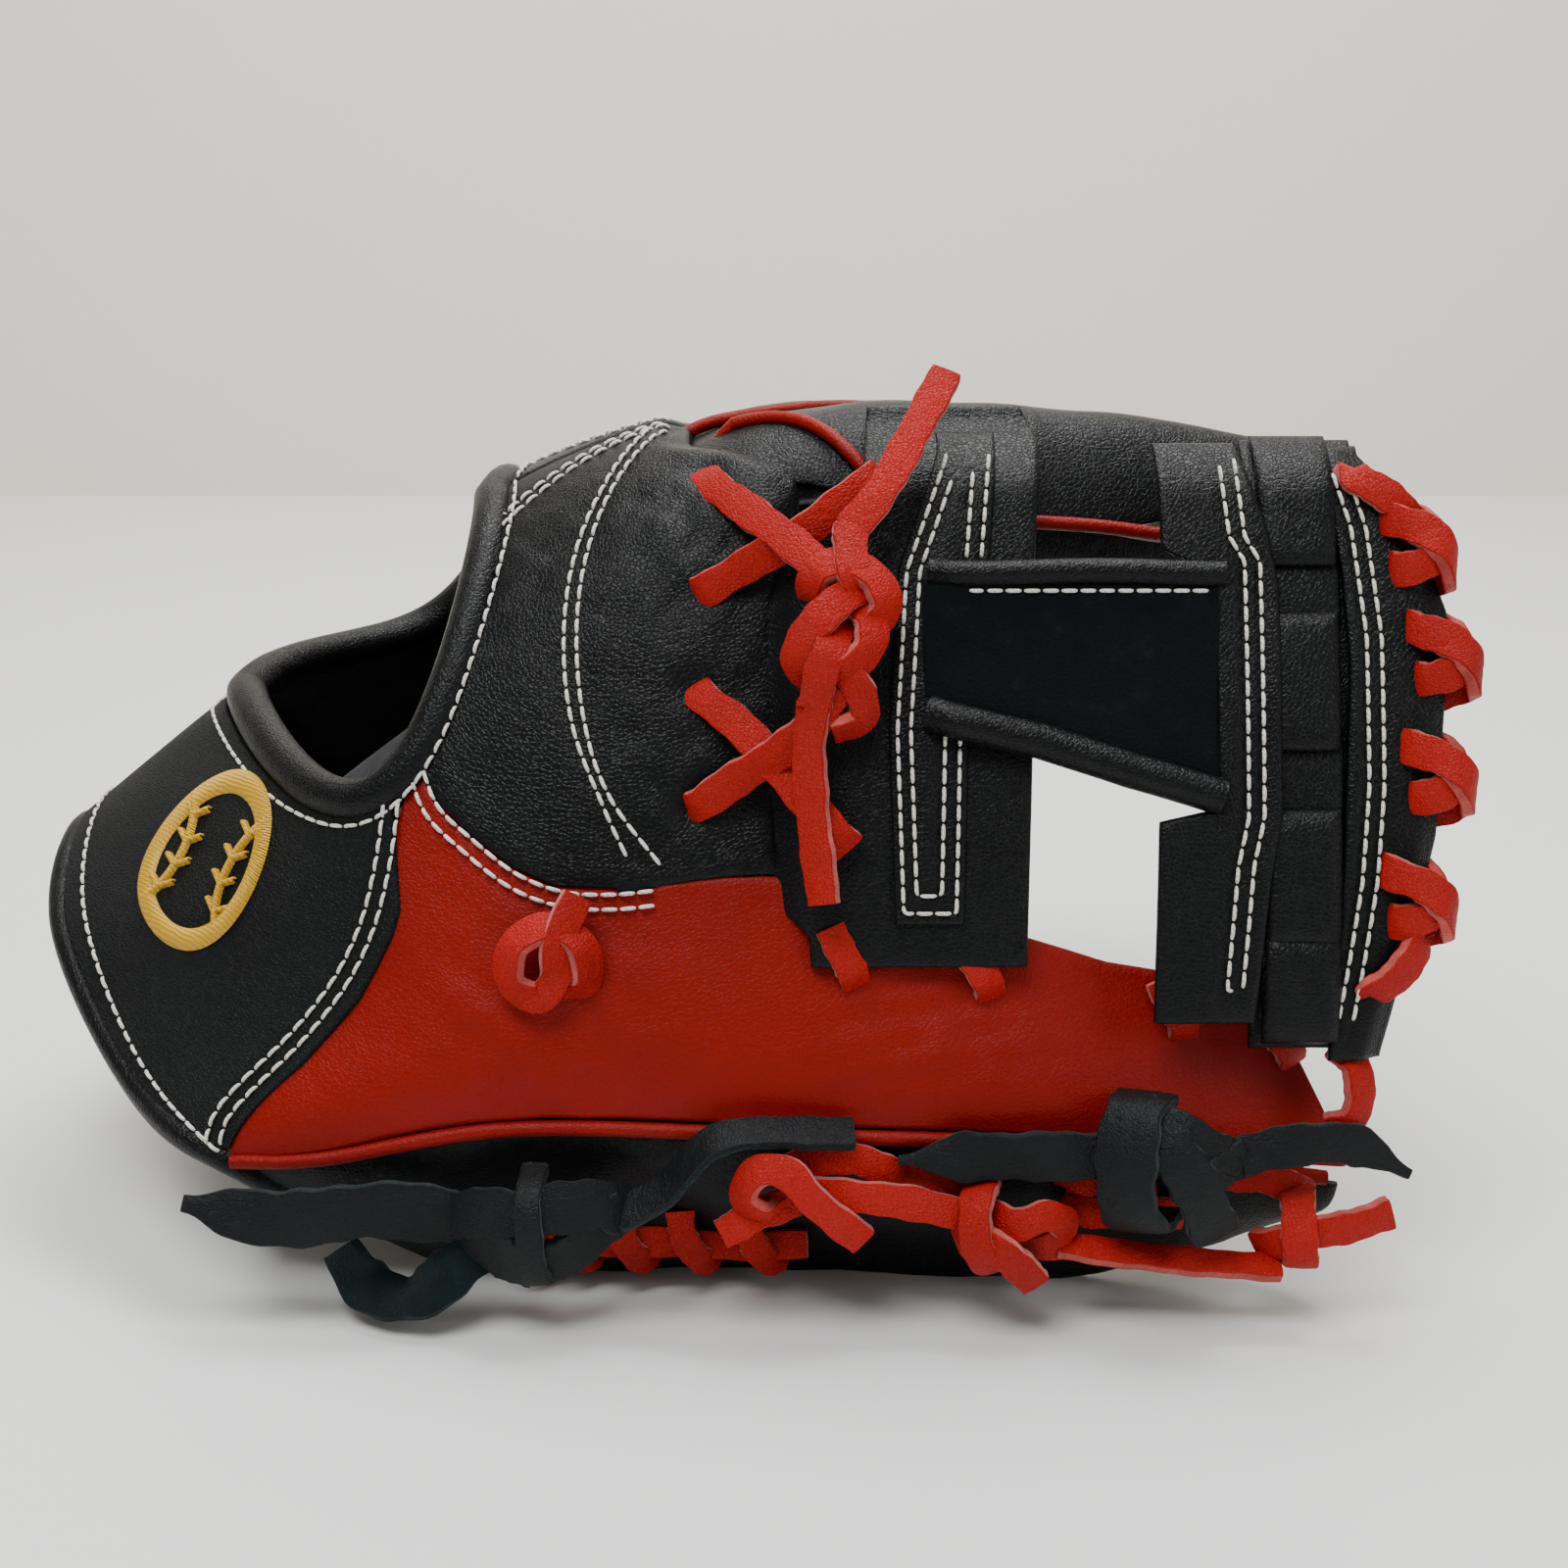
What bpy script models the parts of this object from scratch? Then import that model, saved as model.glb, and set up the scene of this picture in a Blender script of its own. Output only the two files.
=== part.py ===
"""An infielder's baseball glove standing palm down on its thumb and heel edges.

Lengths are in millimetres here and become metres as the meshes are made. The whole outside
of the glove is one smooth skin, skin(u, v): u runs from the wrist rim (0) to the fingertips
(5) and v runs from the floor edge of the thumb (0), over the thumb (1, 2) and the back of the
hand (3, 4, 5), to the floor edge on the little-finger side (7). place(u, v, w) is a point at
height w above that skin, so leathers that differ in u, v or w never meet.
"""
import math

import bmesh
import bpy
from mathutils import Matrix, Vector

# ---------------------------------------------------------------- driving dimensions (mm)
LEATHER = 2.0            # thickness of the shell leather
LINING = 1.6             # thickness of the lining
PAD = 3.0                # thickness of the palm felt
PALM_DEPTH = 38.0        # back leather to palm leather, mid hand
EDGE_DEPTH = 7.0         # the same at the edges that stand on the floor
STALL_DEPTH = 21.0       # outside depth of a finger stall
THUMB_DEPTH = 31.0       # outside depth of the thumb stall
STALL_BULGE = 3.0        # crown of a finger's back leather
GAP = 0.5                # air between neighbouring pieces
FINGER_WELT = 2.6        # diameter of the welts between finger leathers
THUMB_WELT = 2.8         # diameter of the welt under the thumb
UPPER_PIPING = 4.2       # diameter of the crossbar's upper rolled edge
HEEL_LACE = 5.0          # diameter of the lace whipped along the heel
BINDING = 6.4            # diameter of the rolled edge bindings
LACE_WIDTH = 6.0
LACE_THICK = 2.2
TAIL = 5.4               # diameter that a lace tail's cord is drawn with
WIDE_LACE = 8.5          # width of the black wrist and thumb thongs
FOLD_OPENING = 24.0      # degrees cut away inside the thumb fold, past its 20 degree travel
STANDING = 3.0           # an edge lower than this stands flat on the floor
STEP = 0.24              # u or v between two rows of a leather's mesh

FOLD_LOW = Vector((-76.0, 4.0, 3.0))      # the thumb fold's line, heel to web crotch
FOLD_HIGH = Vector((2.0, 4.0, 93.0))
MOVE = Vector((14.6, -75.6, 0.0))            # brings the base's centre to the origin

BLACK = (0.021, 0.022, 0.023, 1.0)
SUEDE = (0.006, 0.008, 0.010, 1.0)
RED = (0.34, 0.018, 0.010, 1.0)
LACE_RED = (0.50, 0.030, 0.022, 1.0)
LACE_BLACK = (0.018, 0.022, 0.024, 1.0)
GOLD = (0.60, 0.36, 0.02, 1.0)
FLEECE = (0.05, 0.05, 0.055, 1.0)
FELT = (0.55, 0.52, 0.45, 1.0)

# Outer skin: one row for each station from wrist to fingertips, thumb edge first.
SKIN = [
    [(-80, 7, 3), (-114, -8, 32), (-138, 13, 43), (-159, 45, 66),
     (-163, 80, 80), (-159, 115, 66), (-138, 147, 43), (-86, 158, 3)],
    [(-68, 8, -1.4), (-94, -11, 34), (-100, 3, 62), (-98, 24, 100),
     (-103, 74, 127), (-100, 118, 112), (-92, 150, 70), (-70, 164, -1.4)],
    [(-40, 6, -1.4), (-55, -12, 41), (-54, -2, 80), (-58, 28, 135),
     (-58, 68, 160), (-56, 110, 150), (-48, 150, 105), (-30, 172, 6)],
    [(0, 6, -1.4), (0, -13, 40), (0, 2, 88), (0, 36, 166),
     (0, 76, 176), (0, 116, 160), (0, 148, 126), (2, 176, 72)],
    [(60, 3, -1.4), (60, -12, 37), (60, 2, 74), (62, 44, 172),
     (66, 82, 172), (66, 118, 155), (62, 150, 126), (52, 178, 90)],
    [(112, 4, 12), (120, -6, 26), (118, 2, 50), (134, 44, 162),
     (132, 82, 160), (122, 116, 143), (104, 148, 119), (80, 172, 93)],
]


# ---------------------------------------------------------------- the skin
def spline(a, b, c, d, t):
    """A point between b and c on the smooth curve through a, b, c and d."""
    return 0.5 * ((2 * b) + (c - a) * t + (2 * a - 5 * b + 4 * c - d) * t * t
                  + (3 * b - a - 3 * c + d) * t ** 3)


def on_curve(points, t):
    """A point at t on the smooth curve through the points, one unit of t apart."""
    first = 2 * points[0] - points[1]
    last = 2 * points[-1] - points[-2]
    line = [first] + list(points) + [last]
    i = min(max(int(math.floor(t)), 0), len(points) - 2)
    return spline(line[i], line[i + 1], line[i + 2], line[i + 3], t - i)


SKIN_ROWS = [[Vector(point) for point in row] for row in SKIN]


def skin(u, v):
    return on_curve([on_curve(row, v) for row in SKIN_ROWS], u)


def normal(u, v):
    """Outward normal of the skin."""
    step = 0.02
    along = skin(u + step, v) - skin(u - step, v)
    across = skin(u, v + step) - skin(u, v - step)
    return along.cross(across).normalized()


def place(u, v, w):
    return skin(u, v) + normal(u, v) * w


def web(x, z, w):
    """A point on the web's face, w in front of it. The web leans back toward the index finger."""
    t = (z - 60.0) / 110.0
    return Vector((x, -9.0 + 38.0 * t - 20.0 * t * (1.0 - t) - w, z))


def smooth(t):
    t = min(max(t, 0.0), 1.0)
    return t * t * (3.0 - 2.0 * t)


def line(pairs, t):
    """Straight reading of a list of (t, value) pairs."""
    for (t0, y0), (t1, y1) in zip(pairs, pairs[1:]):
        if t <= t1:
            return y0 + (y1 - y0) * max(t - t0, 0.0) / (t1 - t0)
    return pairs[-1][1]


# ---------------------------------------------------------------- making objects
def clear_scene():
    for item in list(bpy.data.objects):
        bpy.data.objects.remove(item, do_unlink=True)


def material(name, colour, roughness):
    made = bpy.data.materials.get(name)
    if made:
        return made
    made = bpy.data.materials.new(name)
    made.use_nodes = True
    shader = made.node_tree.nodes["Principled BSDF"]
    shader.inputs["Base Color"].default_value = colour
    shader.inputs["Roughness"].default_value = roughness
    shader.inputs["Metallic"].default_value = 0.0
    made.diffuse_color = colour
    return made


def object_from(name, points, faces, colour, roughness=0.55):
    """A closed mesh object, facing out, from points in millimetres."""
    mesh = bpy.data.meshes.new(name)
    mesh.from_pydata([(point + MOVE) * 0.001 for point in points], [], faces)
    work = bmesh.new()
    work.from_mesh(mesh)
    bmesh.ops.recalc_face_normals(work, faces=work.faces)
    if work.calc_volume(signed=True) < 0.0:
        bmesh.ops.reverse_faces(work, faces=work.faces)
    work.to_mesh(mesh)
    work.free()
    mesh.shade_smooth()
    mesh.set_sharp_from_angle(angle=math.radians(50))
    made = bpy.data.objects.new(name, mesh)
    made.data.materials.append(material(name + "_look", colour, roughness))
    bpy.context.collection.objects.link(made)
    return made


def slab(name, colour, outer, inner, rows, columns, roughness=0.55):
    """A sheet of leather between outer(i, j) and inner(i, j), i and j running from 0 to 1."""
    points = []
    for side in (outer, inner):
        for i in range(rows + 1):
            for j in range(columns + 1):
                points.append(side(i / rows, j / columns))
    wide = columns + 1
    half = (rows + 1) * wide
    faces = []
    for i in range(rows):
        for j in range(columns):
            a = i * wide + j
            faces.append((a, a + 1, a + 1 + wide, a + wide))
            faces.append((half + a, half + a + wide, half + a + 1 + wide, half + a + 1))
    ring = [j for j in range(wide)]
    ring += [i * wide + columns for i in range(1, rows + 1)]
    ring += [rows * wide + j for j in range(columns - 1, -1, -1)]
    ring += [i * wide for i in range(rows - 1, 0, -1)]
    for a, b in zip(ring, ring[1:] + ring[:1]):
        faces.append((a, half + a, half + b, b))
    return object_from(name, points, faces, colour, roughness)


def leather(name, colour, u0, u1, v0, v1, top, bottom, roughness=0.55, fine=1,
            stands=False):
    """A leather on the skin. Each limit and each height is a number or a function."""
    def value(item, *at):
        return item(*at) if callable(item) else item

    def at(i, j, height):
        if callable(u0) or callable(u1):
            v = v0 + (v1 - v0) * j
            u = value(u0, v) + (value(u1, v) - value(u0, v)) * i
        else:
            u = u0 + (u1 - u0) * i
            v = value(v0, u) + (value(v1, u) - value(v0, u)) * j
        point = place(u, v, value(height, u, v))
        if stands and j == 0.0 and point.z < STANDING:
            point.z = 0.0
        return point

    middle = [value(item, 2.5) for item in (u0, u1, v0, v1)]
    rows = max(2, round(abs(middle[1] - middle[0]) / STEP))
    columns = max(2, round(fine * abs(middle[3] - middle[2]) / STEP))
    return slab(name, colour, lambda i, j: at(i, j, top), lambda i, j: at(i, j, bottom),
                rows, columns, roughness)


def web_slab(name, colour, left, right, low, high, w0, w1, rows, columns, roughness=0.55):
    """A leather of the web from x = left(z) to right(z) and z = low to high."""
    def at(i, j, w):
        z = low + (high - low) * i
        return web(left(z) + (right(z) - left(z)) * j, z, w)

    return slab(name, colour, lambda i, j: at(i, j, w1), lambda i, j: at(i, j, w0),
                rows, columns, roughness)


def sweep(name, colour, path, section, face=None, roughness=0.6):
    """A closed solid with the section's outline along the path, facing the direction face."""
    points = []
    count = len(section)
    last = len(path) - 1
    side_before = None
    for i, at in enumerate(path):
        ahead = (path[min(i + 1, last)] - path[max(i - 1, 0)]).normalized()
        up = face(i / last) if callable(face) else face
        if up is None:
            up = Vector((0, -1, 0)) if side_before is None else side_before
        up = (up - ahead * up.dot(ahead)).normalized()
        if face is None:
            side_before = up
        side = ahead.cross(up)
        for a, b in section:
            points.append(at + side * a + up * b)
    faces = [tuple(range(count))[::-1], tuple(last * count + j for j in range(count))]
    for i in range(last):
        for j in range(count):
            k = (j + 1) % count
            faces.append((i * count + j, i * count + k, (i + 1) * count + k, (i + 1) * count + j))
    return object_from(name, points, faces, colour, roughness)


def round_section(diameter, sides=7):
    return [(math.cos(math.tau * i / sides) * diameter / 2,
             math.sin(math.tau * i / sides) * diameter / 2) for i in range(sides)]


def flat_section(width, thick):
    return [(-width / 2, -thick / 2), (width / 2, -thick / 2),
            (width / 2, thick / 2), (-width / 2, thick / 2)]


def through(points, count):
    """count + 1 points along the smooth curve through the given ones."""
    route = [Vector(point) for point in points]
    return [on_curve(route, (len(route) - 1) * i / count) for i in range(count + 1)]


def tube(name, colour, path, diameter, roughness=0.5):
    return sweep(name, colour, path, round_section(diameter), None, roughness)


def ring_tube(name, colour, path, diameter, roughness=0.5):
    """A closed loop of piping through the points, the last joined to the first."""
    points = []
    section = round_section(diameter)
    count = len(section)
    total = len(path)
    middle = sum(path, Vector()) / total
    for i, at in enumerate(path):
        ahead = (path[(i + 1) % total] - path[i - 1]).normalized()
        out = at - middle
        out = (out - ahead * out.dot(ahead)).normalized()
        side = ahead.cross(out)
        for a, b in section:
            points.append(at + side * a + out * b)
    faces = []
    for i in range(total):
        n = (i + 1) % total
        for j in range(count):
            k = (j + 1) % count
            faces.append((i * count + j, i * count + k, n * count + k, n * count + j))
    return object_from(name, points, faces, colour, roughness)


def lace(name, colour, points, width=LACE_WIDTH, thick=LACE_THICK, face=Vector((0, -1, 0)), count=10):
    return sweep(name, colour, through(points, count), flat_section(width, thick), face)


def knot(name, colour, centre, size, lean=0.0):
    """A tied knot as one rounded block."""
    mesh = bpy.data.meshes.new(name)
    work = bmesh.new()
    bmesh.ops.create_icosphere(work, subdivisions=2, radius=0.5)
    turn = Matrix.Rotation(math.radians(lean), 4, "Y")
    for vert in work.verts:
        grown = Vector((vert.co.x * size[0], vert.co.y * size[1], vert.co.z * size[2]))
        vert.co = (Vector(centre) + turn @ grown + MOVE) * 0.001
    work.to_mesh(mesh)
    work.free()
    mesh.shade_smooth()
    made = bpy.data.objects.new(name, mesh)
    made.data.materials.append(material(name + "_look", colour, 0.6))
    bpy.context.collection.objects.link(made)
    return made


def cord(name, colour, points, diameter=TAIL):
    """A free lace tail: a tube along the smooth curve through its route."""
    route = [Vector(point) for point in points]
    length = sum((b - a).length for a, b in zip(route, route[1:]))
    count = max(6, round(length / (2.4 * diameter)))
    data = bpy.data.curves.new(name, "CURVE")
    data.dimensions = "3D"
    data.bevel_depth = diameter / 2 * 0.001
    data.bevel_resolution = 2
    data.use_fill_caps = True
    run = data.splines.new("POLY")
    path = through(points, count)
    run.points.add(len(path) - 1)
    for point, at in zip(run.points, path):
        point.co = (*((at + MOVE) * 0.001), 1.0)
    made = bpy.data.objects.new(name, data)
    data.materials.append(material(name + "_look", colour, 0.7))
    bpy.context.collection.objects.link(made)
    return made


def cutter(name, points, faces):
    made = object_from(name, points, faces, (1, 1, 1, 1))
    made.hide_render = True
    made.display_type = "WIRE"
    return made


def fold_cutter(name, low, high, opening, swing, side, sharp):
    """A wedge-edged block. Its edge is the fold's line from low to high, swing is the way the
    moving piece swings, side points from the fixed piece to the moving one, and sharp tells
    which of the two pieces it removes."""
    along = (high - low).normalized()
    side = (side - along * side.dot(along)).normalized()
    swing = (swing - along * swing.dot(along) - side * swing.dot(side)).normalized()
    reach = 400.0
    tilt = math.tan(math.radians(opening)) if sharp else 0.0
    gap = 0.5 if sharp else -0.5
    way = -1.0 if sharp else 1.0
    outline = [
        (way * reach, -reach), (gap, -reach), (gap, 0.0),
        (gap + tilt * reach, reach), (way * reach, reach),
    ]
    start = low - along * 150.0
    end = high + along * 150.0
    points = [at + side * a + swing * b for at in (start, end) for a, b in outline]
    count = len(outline)
    faces = [tuple(range(count)), tuple(range(2 * count - 1, count - 1, -1))]
    for j in range(count):
        k = (j + 1) % count
        faces.append((j, count + j, count + k, k))
    return cutter(name, points, faces)


def cut(target, tool):
    change = target.modifiers.new("cut_" + tool.name, "BOOLEAN")
    change.operation = "DIFFERENCE"
    change.solver = "EXACT"
    change.object = tool


def near(x, z, w):
    """The point of the thumb-side wall that stands at x and z, w outside its skin."""
    u, v = 2.4 + x / 55.0, 1.0 + (z - 38.0) / 48.0
    for _ in range(14):
        here = skin(u, v)
        along = (skin(u + 0.01, v) - here) * 100.0
        across = (skin(u, v + 0.01) - here) * 100.0
        det = along.x * across.z - along.z * across.x
        dx = x - here.x
        dz = z - here.z
        u += 0.7 * (dx * across.z - dz * across.x) / det
        v += 0.7 * (dz * along.x - dx * along.z) / det
        u = min(max(u, -0.2), 5.2)
        v = min(max(v, 0.0), 3.2)
    return place(u, v, w)


# ---------------------------------------------------------------- outlines on the skin
EDGE = 0.07              # half the gap that a welt lies in, in v
TRIM = 0.11              # a leather's distance from a binding's middle, in u or v
HOLE_U = 0.62            # half the hand opening toward wrist and fingers, in u
HOLE_V = 1.22            # half the hand opening from side to side, in v

PATCH_EDGE = [(1.3, 0.45), (1.63, 0.98), (1.9, 1.26), (2.15, 1.42), (2.4, 1.5), (2.7, 1.56)]
BACK_EDGE = [(2.06, 2.44), (2.12, 2.2), (2.23, 2.03), (2.39, 1.86), (2.55, 1.72), (2.7, 1.63),
             (2.8, 1.64)]
RED_TOP = [(1.07, 2.98), (2.0, 2.98), (2.0, 2.42), (2.08, 2.14), (2.19, 1.97), (2.35, 1.8),
           (2.51, 1.67), (2.62, 1.62)]


def mirrored(v):
    """The little-finger side repeats the thumb side's outlines."""
    return min(v, 8.0 - v)


def hole_middle(v):
    return 1.25 + 0.14 * abs(4.0 - v)


def hole_half(v, margin):
    reach = HOLE_V + margin
    part = 1.0 - ((v - 4.0) / reach) ** 2
    return (HOLE_U + margin) * math.sqrt(max(part, 0.0))


def patch_limit(v):
    """Where the wrist patch ends toward the fingers."""
    edge = line(PATCH_EDGE, mirrored(v))
    return min(edge, hole_middle(v) - hole_half(v, TRIM)) - 0.01


def back_limit(v):
    """Where the black back leather begins."""
    edge = line(BACK_EDGE, mirrored(v))
    if mirrored(v) < 2.75:
        return edge + 0.02
    return max(edge, hole_middle(v) + hole_half(v, TRIM)) + 0.02


def red_leather(name, lowest, far_side):
    """The red heel leather: wrist patch on its left, black back leather above it."""
    top = [(v, u) for v, u in RED_TOP]
    top[0] = (lowest, 2.98)

    def at(i, j, w):
        left_v = lowest + (2.62 - lowest) * i
        left_u = line(PATCH_EDGE, left_v) + 0.03
        share = i * (len(top) - 1)
        k = min(int(share), len(top) - 2)
        right_v = top[k][0] + (top[k + 1][0] - top[k][0]) * (share - k)
        right_u = top[k][1] + (top[k + 1][1] - top[k][1]) * (share - k)
        v = left_v + (right_v - left_v) * j
        return place(left_u + (right_u - left_u) * j, 8.0 - v if far_side else v, w)

    rows = 2 * (len(top) - 1)
    return slab(name, RED, lambda i, j: at(i, j, 0.0), lambda i, j: at(i, j, -LEATHER), rows, 8)


def palm_depth(u, v):
    """Depth of the palm leather's face below the skin: thin at both floor edges."""
    edge = smooth(min(v, 7.0 - v) / 1.7)
    return EDGE_DEPTH + (PALM_DEPTH - EDGE_DEPTH) * edge


def thumb_depth(u, v):
    tip = math.sqrt(max(1.0 - (max(u - 3.6, 0.0) / 1.42) ** 2, 0.0))
    belly = math.sin(math.pi * min(max(v, 0.0), 2.0) / 2.0)
    return EDGE_DEPTH + (THUMB_DEPTH - EDGE_DEPTH) * belly * tip


# ---------------------------------------------------------------- the hand's shell
def build_hand_shell():
    leather("back_leather_thumb_side", BLACK, back_limit, 2.95, 2.06, 3.97, 0.0, -LEATHER, 0.55, 2)
    leather("back_leather_little_side", BLACK, back_limit, 2.95, 4.03, 5.94, 0.0, -LEATHER, 0.55, 2)
    made = [
        red_leather("thumb_base_leather", 1.0 + EDGE, False),
        leather("heel_underside", BLACK, 0.34, 1.9, 0.04, 1.0 - EDGE, 0.0, -LEATHER),
    ]
    red_leather("little_heel_leather", 1.03, True)
    leather("wrist_patch", SUEDE, 0.15, patch_limit, 1.32, 6.68, 0.0, -LEATHER, 0.9, 1.5)
    leather("wrist_lining", FLEECE, 0.13, 0.46, 1.7, 6.3, -3.2, -5.2, 0.95)
    return made


def build_palm():
    made = [leather("palm_leather", BLACK, 0.2, 3.04, 0.16, 6.84,
                    lambda u, v: -palm_depth(u, v) + LEATHER,
                    lambda u, v: -palm_depth(u, v))]
    felt = LEATHER + GAP + PAD
    leather("palm_felt", FELT, 0.9, 2.7, 2.3, 5.7,
            lambda u, v: -palm_depth(u, v) + felt,
            lambda u, v: -palm_depth(u, v) + LEATHER + GAP, 0.95)
    leather("palm_lining", FLEECE, 0.5, 2.9, 2.1, 5.9,
            lambda u, v: -palm_depth(u, v) + felt + GAP + LINING,
            lambda u, v: -palm_depth(u, v) + felt + GAP, 0.9)
    leather("little_heel_pad", FELT, 0.56, 2.2, 6.0, 6.35, -4.0,
            lambda u, v: -palm_depth(u, v) + 5.5, 0.95, 1.5)
    return made


def build_bindings():
    rim = [place(-0.05, 0.35 + 6.3 * i / 36, -2.0) for i in range(37)]
    tube("wrist_binding", BLACK, rim, BINDING)
    turns = 40
    loop = []
    for i in range(turns):
        angle = math.tau * i / turns
        v = 4.0 + HOLE_V * math.sin(angle)
        u = hole_middle(v) + HOLE_U * math.cos(angle)
        loop.append(place(u, v, -1.6))
    ring_tube("hand_opening_binding", BLACK, loop, BINDING)


def build_emblem():
    """A plain raised disc on the wrist patch stands for the embroidery."""
    slab("emblem", GOLD, lambda i, j: place(0.38 + 0.42 * i, 2.3 + 0.62 * j, 1.3),
         lambda i, j: place(0.38 + 0.42 * i, 2.3 + 0.62 * j, 0.4), 3, 3, 0.4)


# ---------------------------------------------------------------- fingers
FINGERS = ["index", "middle", "ring", "little"]
FINGER_START = 3.1
FINGER_END = 4.97


def taper(u):
    """A finger's width and depth near its tip, as a share of the full ones."""
    t = max(u - 4.25, 0.0) / (FINGER_END - 4.25)
    return math.sqrt(max(1.0 - 0.8 * t * t, 0.0))


def build_finger(name, seam):
    """One finger stall: back leather, front leather and a welt down each side."""
    middle = seam + 0.5
    half = 0.5 - EDGE

    def side(u, share):
        return middle + half * share * taper(u)

    def crown(u, v):
        share = (v - middle) / (half * taper(u))
        return max(1.0 - share * share, 0.0)

    def front(u, v):
        return -(8.0 + (STALL_DEPTH - 8.0) * crown(u, v) ** 0.7 * taper(u))

    back = leather(name + "_back", BLACK, FINGER_START, FINGER_END,
                   lambda u: side(u, -1.0), lambda u: side(u, 1.0),
                   lambda u, v: STALL_BULGE * crown(u, v),
                   lambda u, v: STALL_BULGE * crown(u, v) - LEATHER)
    palm = leather(name + "_front", BLACK, FINGER_START, FINGER_END,
                   lambda u: side(u, -1.0), lambda u: side(u, 1.0),
                   lambda u, v: front(u, v) + LEATHER, front)
    path = []
    for i in range(33):
        along = 1.0 - abs(1.0 - i / 16)
        u = FINGER_START + 0.02 + (FINGER_END - FINGER_START - 0.13) * math.sin(math.pi / 2 * along)
        share = 0.9 * math.cos(math.pi * (i / 32)) if 12 < i < 20 else (0.9 if i <= 12 else -0.9)
        path.append(place(u, side(u, -share), -4.1))
    welt = tube(name + "_welt", LACE_RED if name == "index" else BLACK, path, FINGER_WELT)
    return [back, palm, welt]


# ---------------------------------------------------------------- thumb
def build_thumb():
    made = [
        leather("thumb_back", RED, 1.1, 4.94, 1.0 + EDGE, 2.0, 0.0, -LEATHER),
        leather("thumb_underside", BLACK, 0.9, 4.9, 0.02, 1.0 - EDGE, 0.0, -LEATHER, stands=True),
        leather("thumb_front", BLACK, 0.9, 4.9, 0.2, 1.95,
                lambda u, v: -thumb_depth(u, v) + LEATHER,
                lambda u, v: -thumb_depth(u, v)),
    ]
    welt = [place(0.6 + 4.1 * i / 30, 1.0, -1.2) for i in range(31)]
    made.append(tube("thumb_welt", BLACK, welt, THUMB_WELT))
    return made


# ---------------------------------------------------------------- web
def build_web_left():
    web_slab("web_left_panel", BLACK, lambda z: 6.5,
             lambda z: line([(74, 49), (153, 50.5), (178, 53)], z),
             74.0, 178.0, -GAP - LEATHER, -GAP, 9, 4)
    web_slab("web_left_strip", BLACK,
             lambda z: line([(84, 23), (120, 21.5), (150, 23), (172, 33)], z),
             lambda z: line([(84, 34), (150, 34), (172, 44)], z),
             84.0, 172.0, LEATHER + GAP, 2 * LEATHER + GAP, 8, 2)


def crossbar_low(x):
    return line([(27, 126.5), (38, 124.5), (51, 121.5), (69, 115.5), (88, 110.5)], x)


def build_crossbar():
    front = 2 * LEATHER + GAP

    def at(i, j, w):
        x = 35.0 + 52.0 * j
        low = crossbar_low(x)
        return web(x, low + (147.5 - low) * i, w)

    slab("web_crossbar", SUEDE, lambda i, j: at(i, j, front), lambda i, j: at(i, j, LEATHER + GAP),
         4, 6, 0.95)
    bottom = [web(x, crossbar_low(x) - 3.9, 3.6) for x in (35.2, 42, 49, 56, 63, 70, 76, 80.5)]
    tube("crossbar_lower_piping", BLACK, bottom, BINDING)
    top = [web(35.2 + 51.6 * i / 6, 150.2, 3.4) for i in range(7)]
    tube("crossbar_upper_piping", BLACK, top, UPPER_PIPING)


def build_web_right():
    left = [(65, 74), (103, 74.5), (104, 88.2), (154, 88.2), (155, 76), (172, 75)]
    right = [(65, 94.5), (100, 98.5), (133, 99), (152, 99), (162, 97), (172, 92.5)]
    web_slab("web_right_strip", BLACK, lambda z: line(left, z), lambda z: line(right, z),
             65.0, 172.0, LEATHER + GAP, 2 * LEATHER + GAP, 28, 2)
    web_slab("web_weave_core", BLACK, lambda z: 99.8, lambda z: 109.0, 58.0, 172.0,
             -3.6, -2.0, 8, 2)

    def relief(z):
        return 0.9 * smooth(abs((z - 58.0) / 19.0 % 2.0 - 1.0) * 4.0 - 1.5)

    def weave(i, j, w):
        z = 58.5 + 108.0 * i
        return web(99.8 + 9.2 * j, z, w + relief(z))

    slab("web_weave_front", BLACK, lambda i, j: weave(i, j, 0.9),
         lambda i, j: weave(i, j, -1.4), 36, 2)


BAND_LEFT = [(56, 110.2), (100, 112.8), (133, 114.8), (150, 114), (164, 111.5), (171, 108)]
BAND_RIGHT = [(56, 120.5), (99, 131), (128, 133.5), (142, 134), (158, 128), (168, 121),
              (171, 118)]


def build_top_band():
    web_slab("web_top_band", BLACK, lambda z: line(BAND_LEFT, z), lambda z: line(BAND_RIGHT, z),
             56.0, 171.0, 0.0, LEATHER, 12, 3)
    build_edge_lace()


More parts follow.
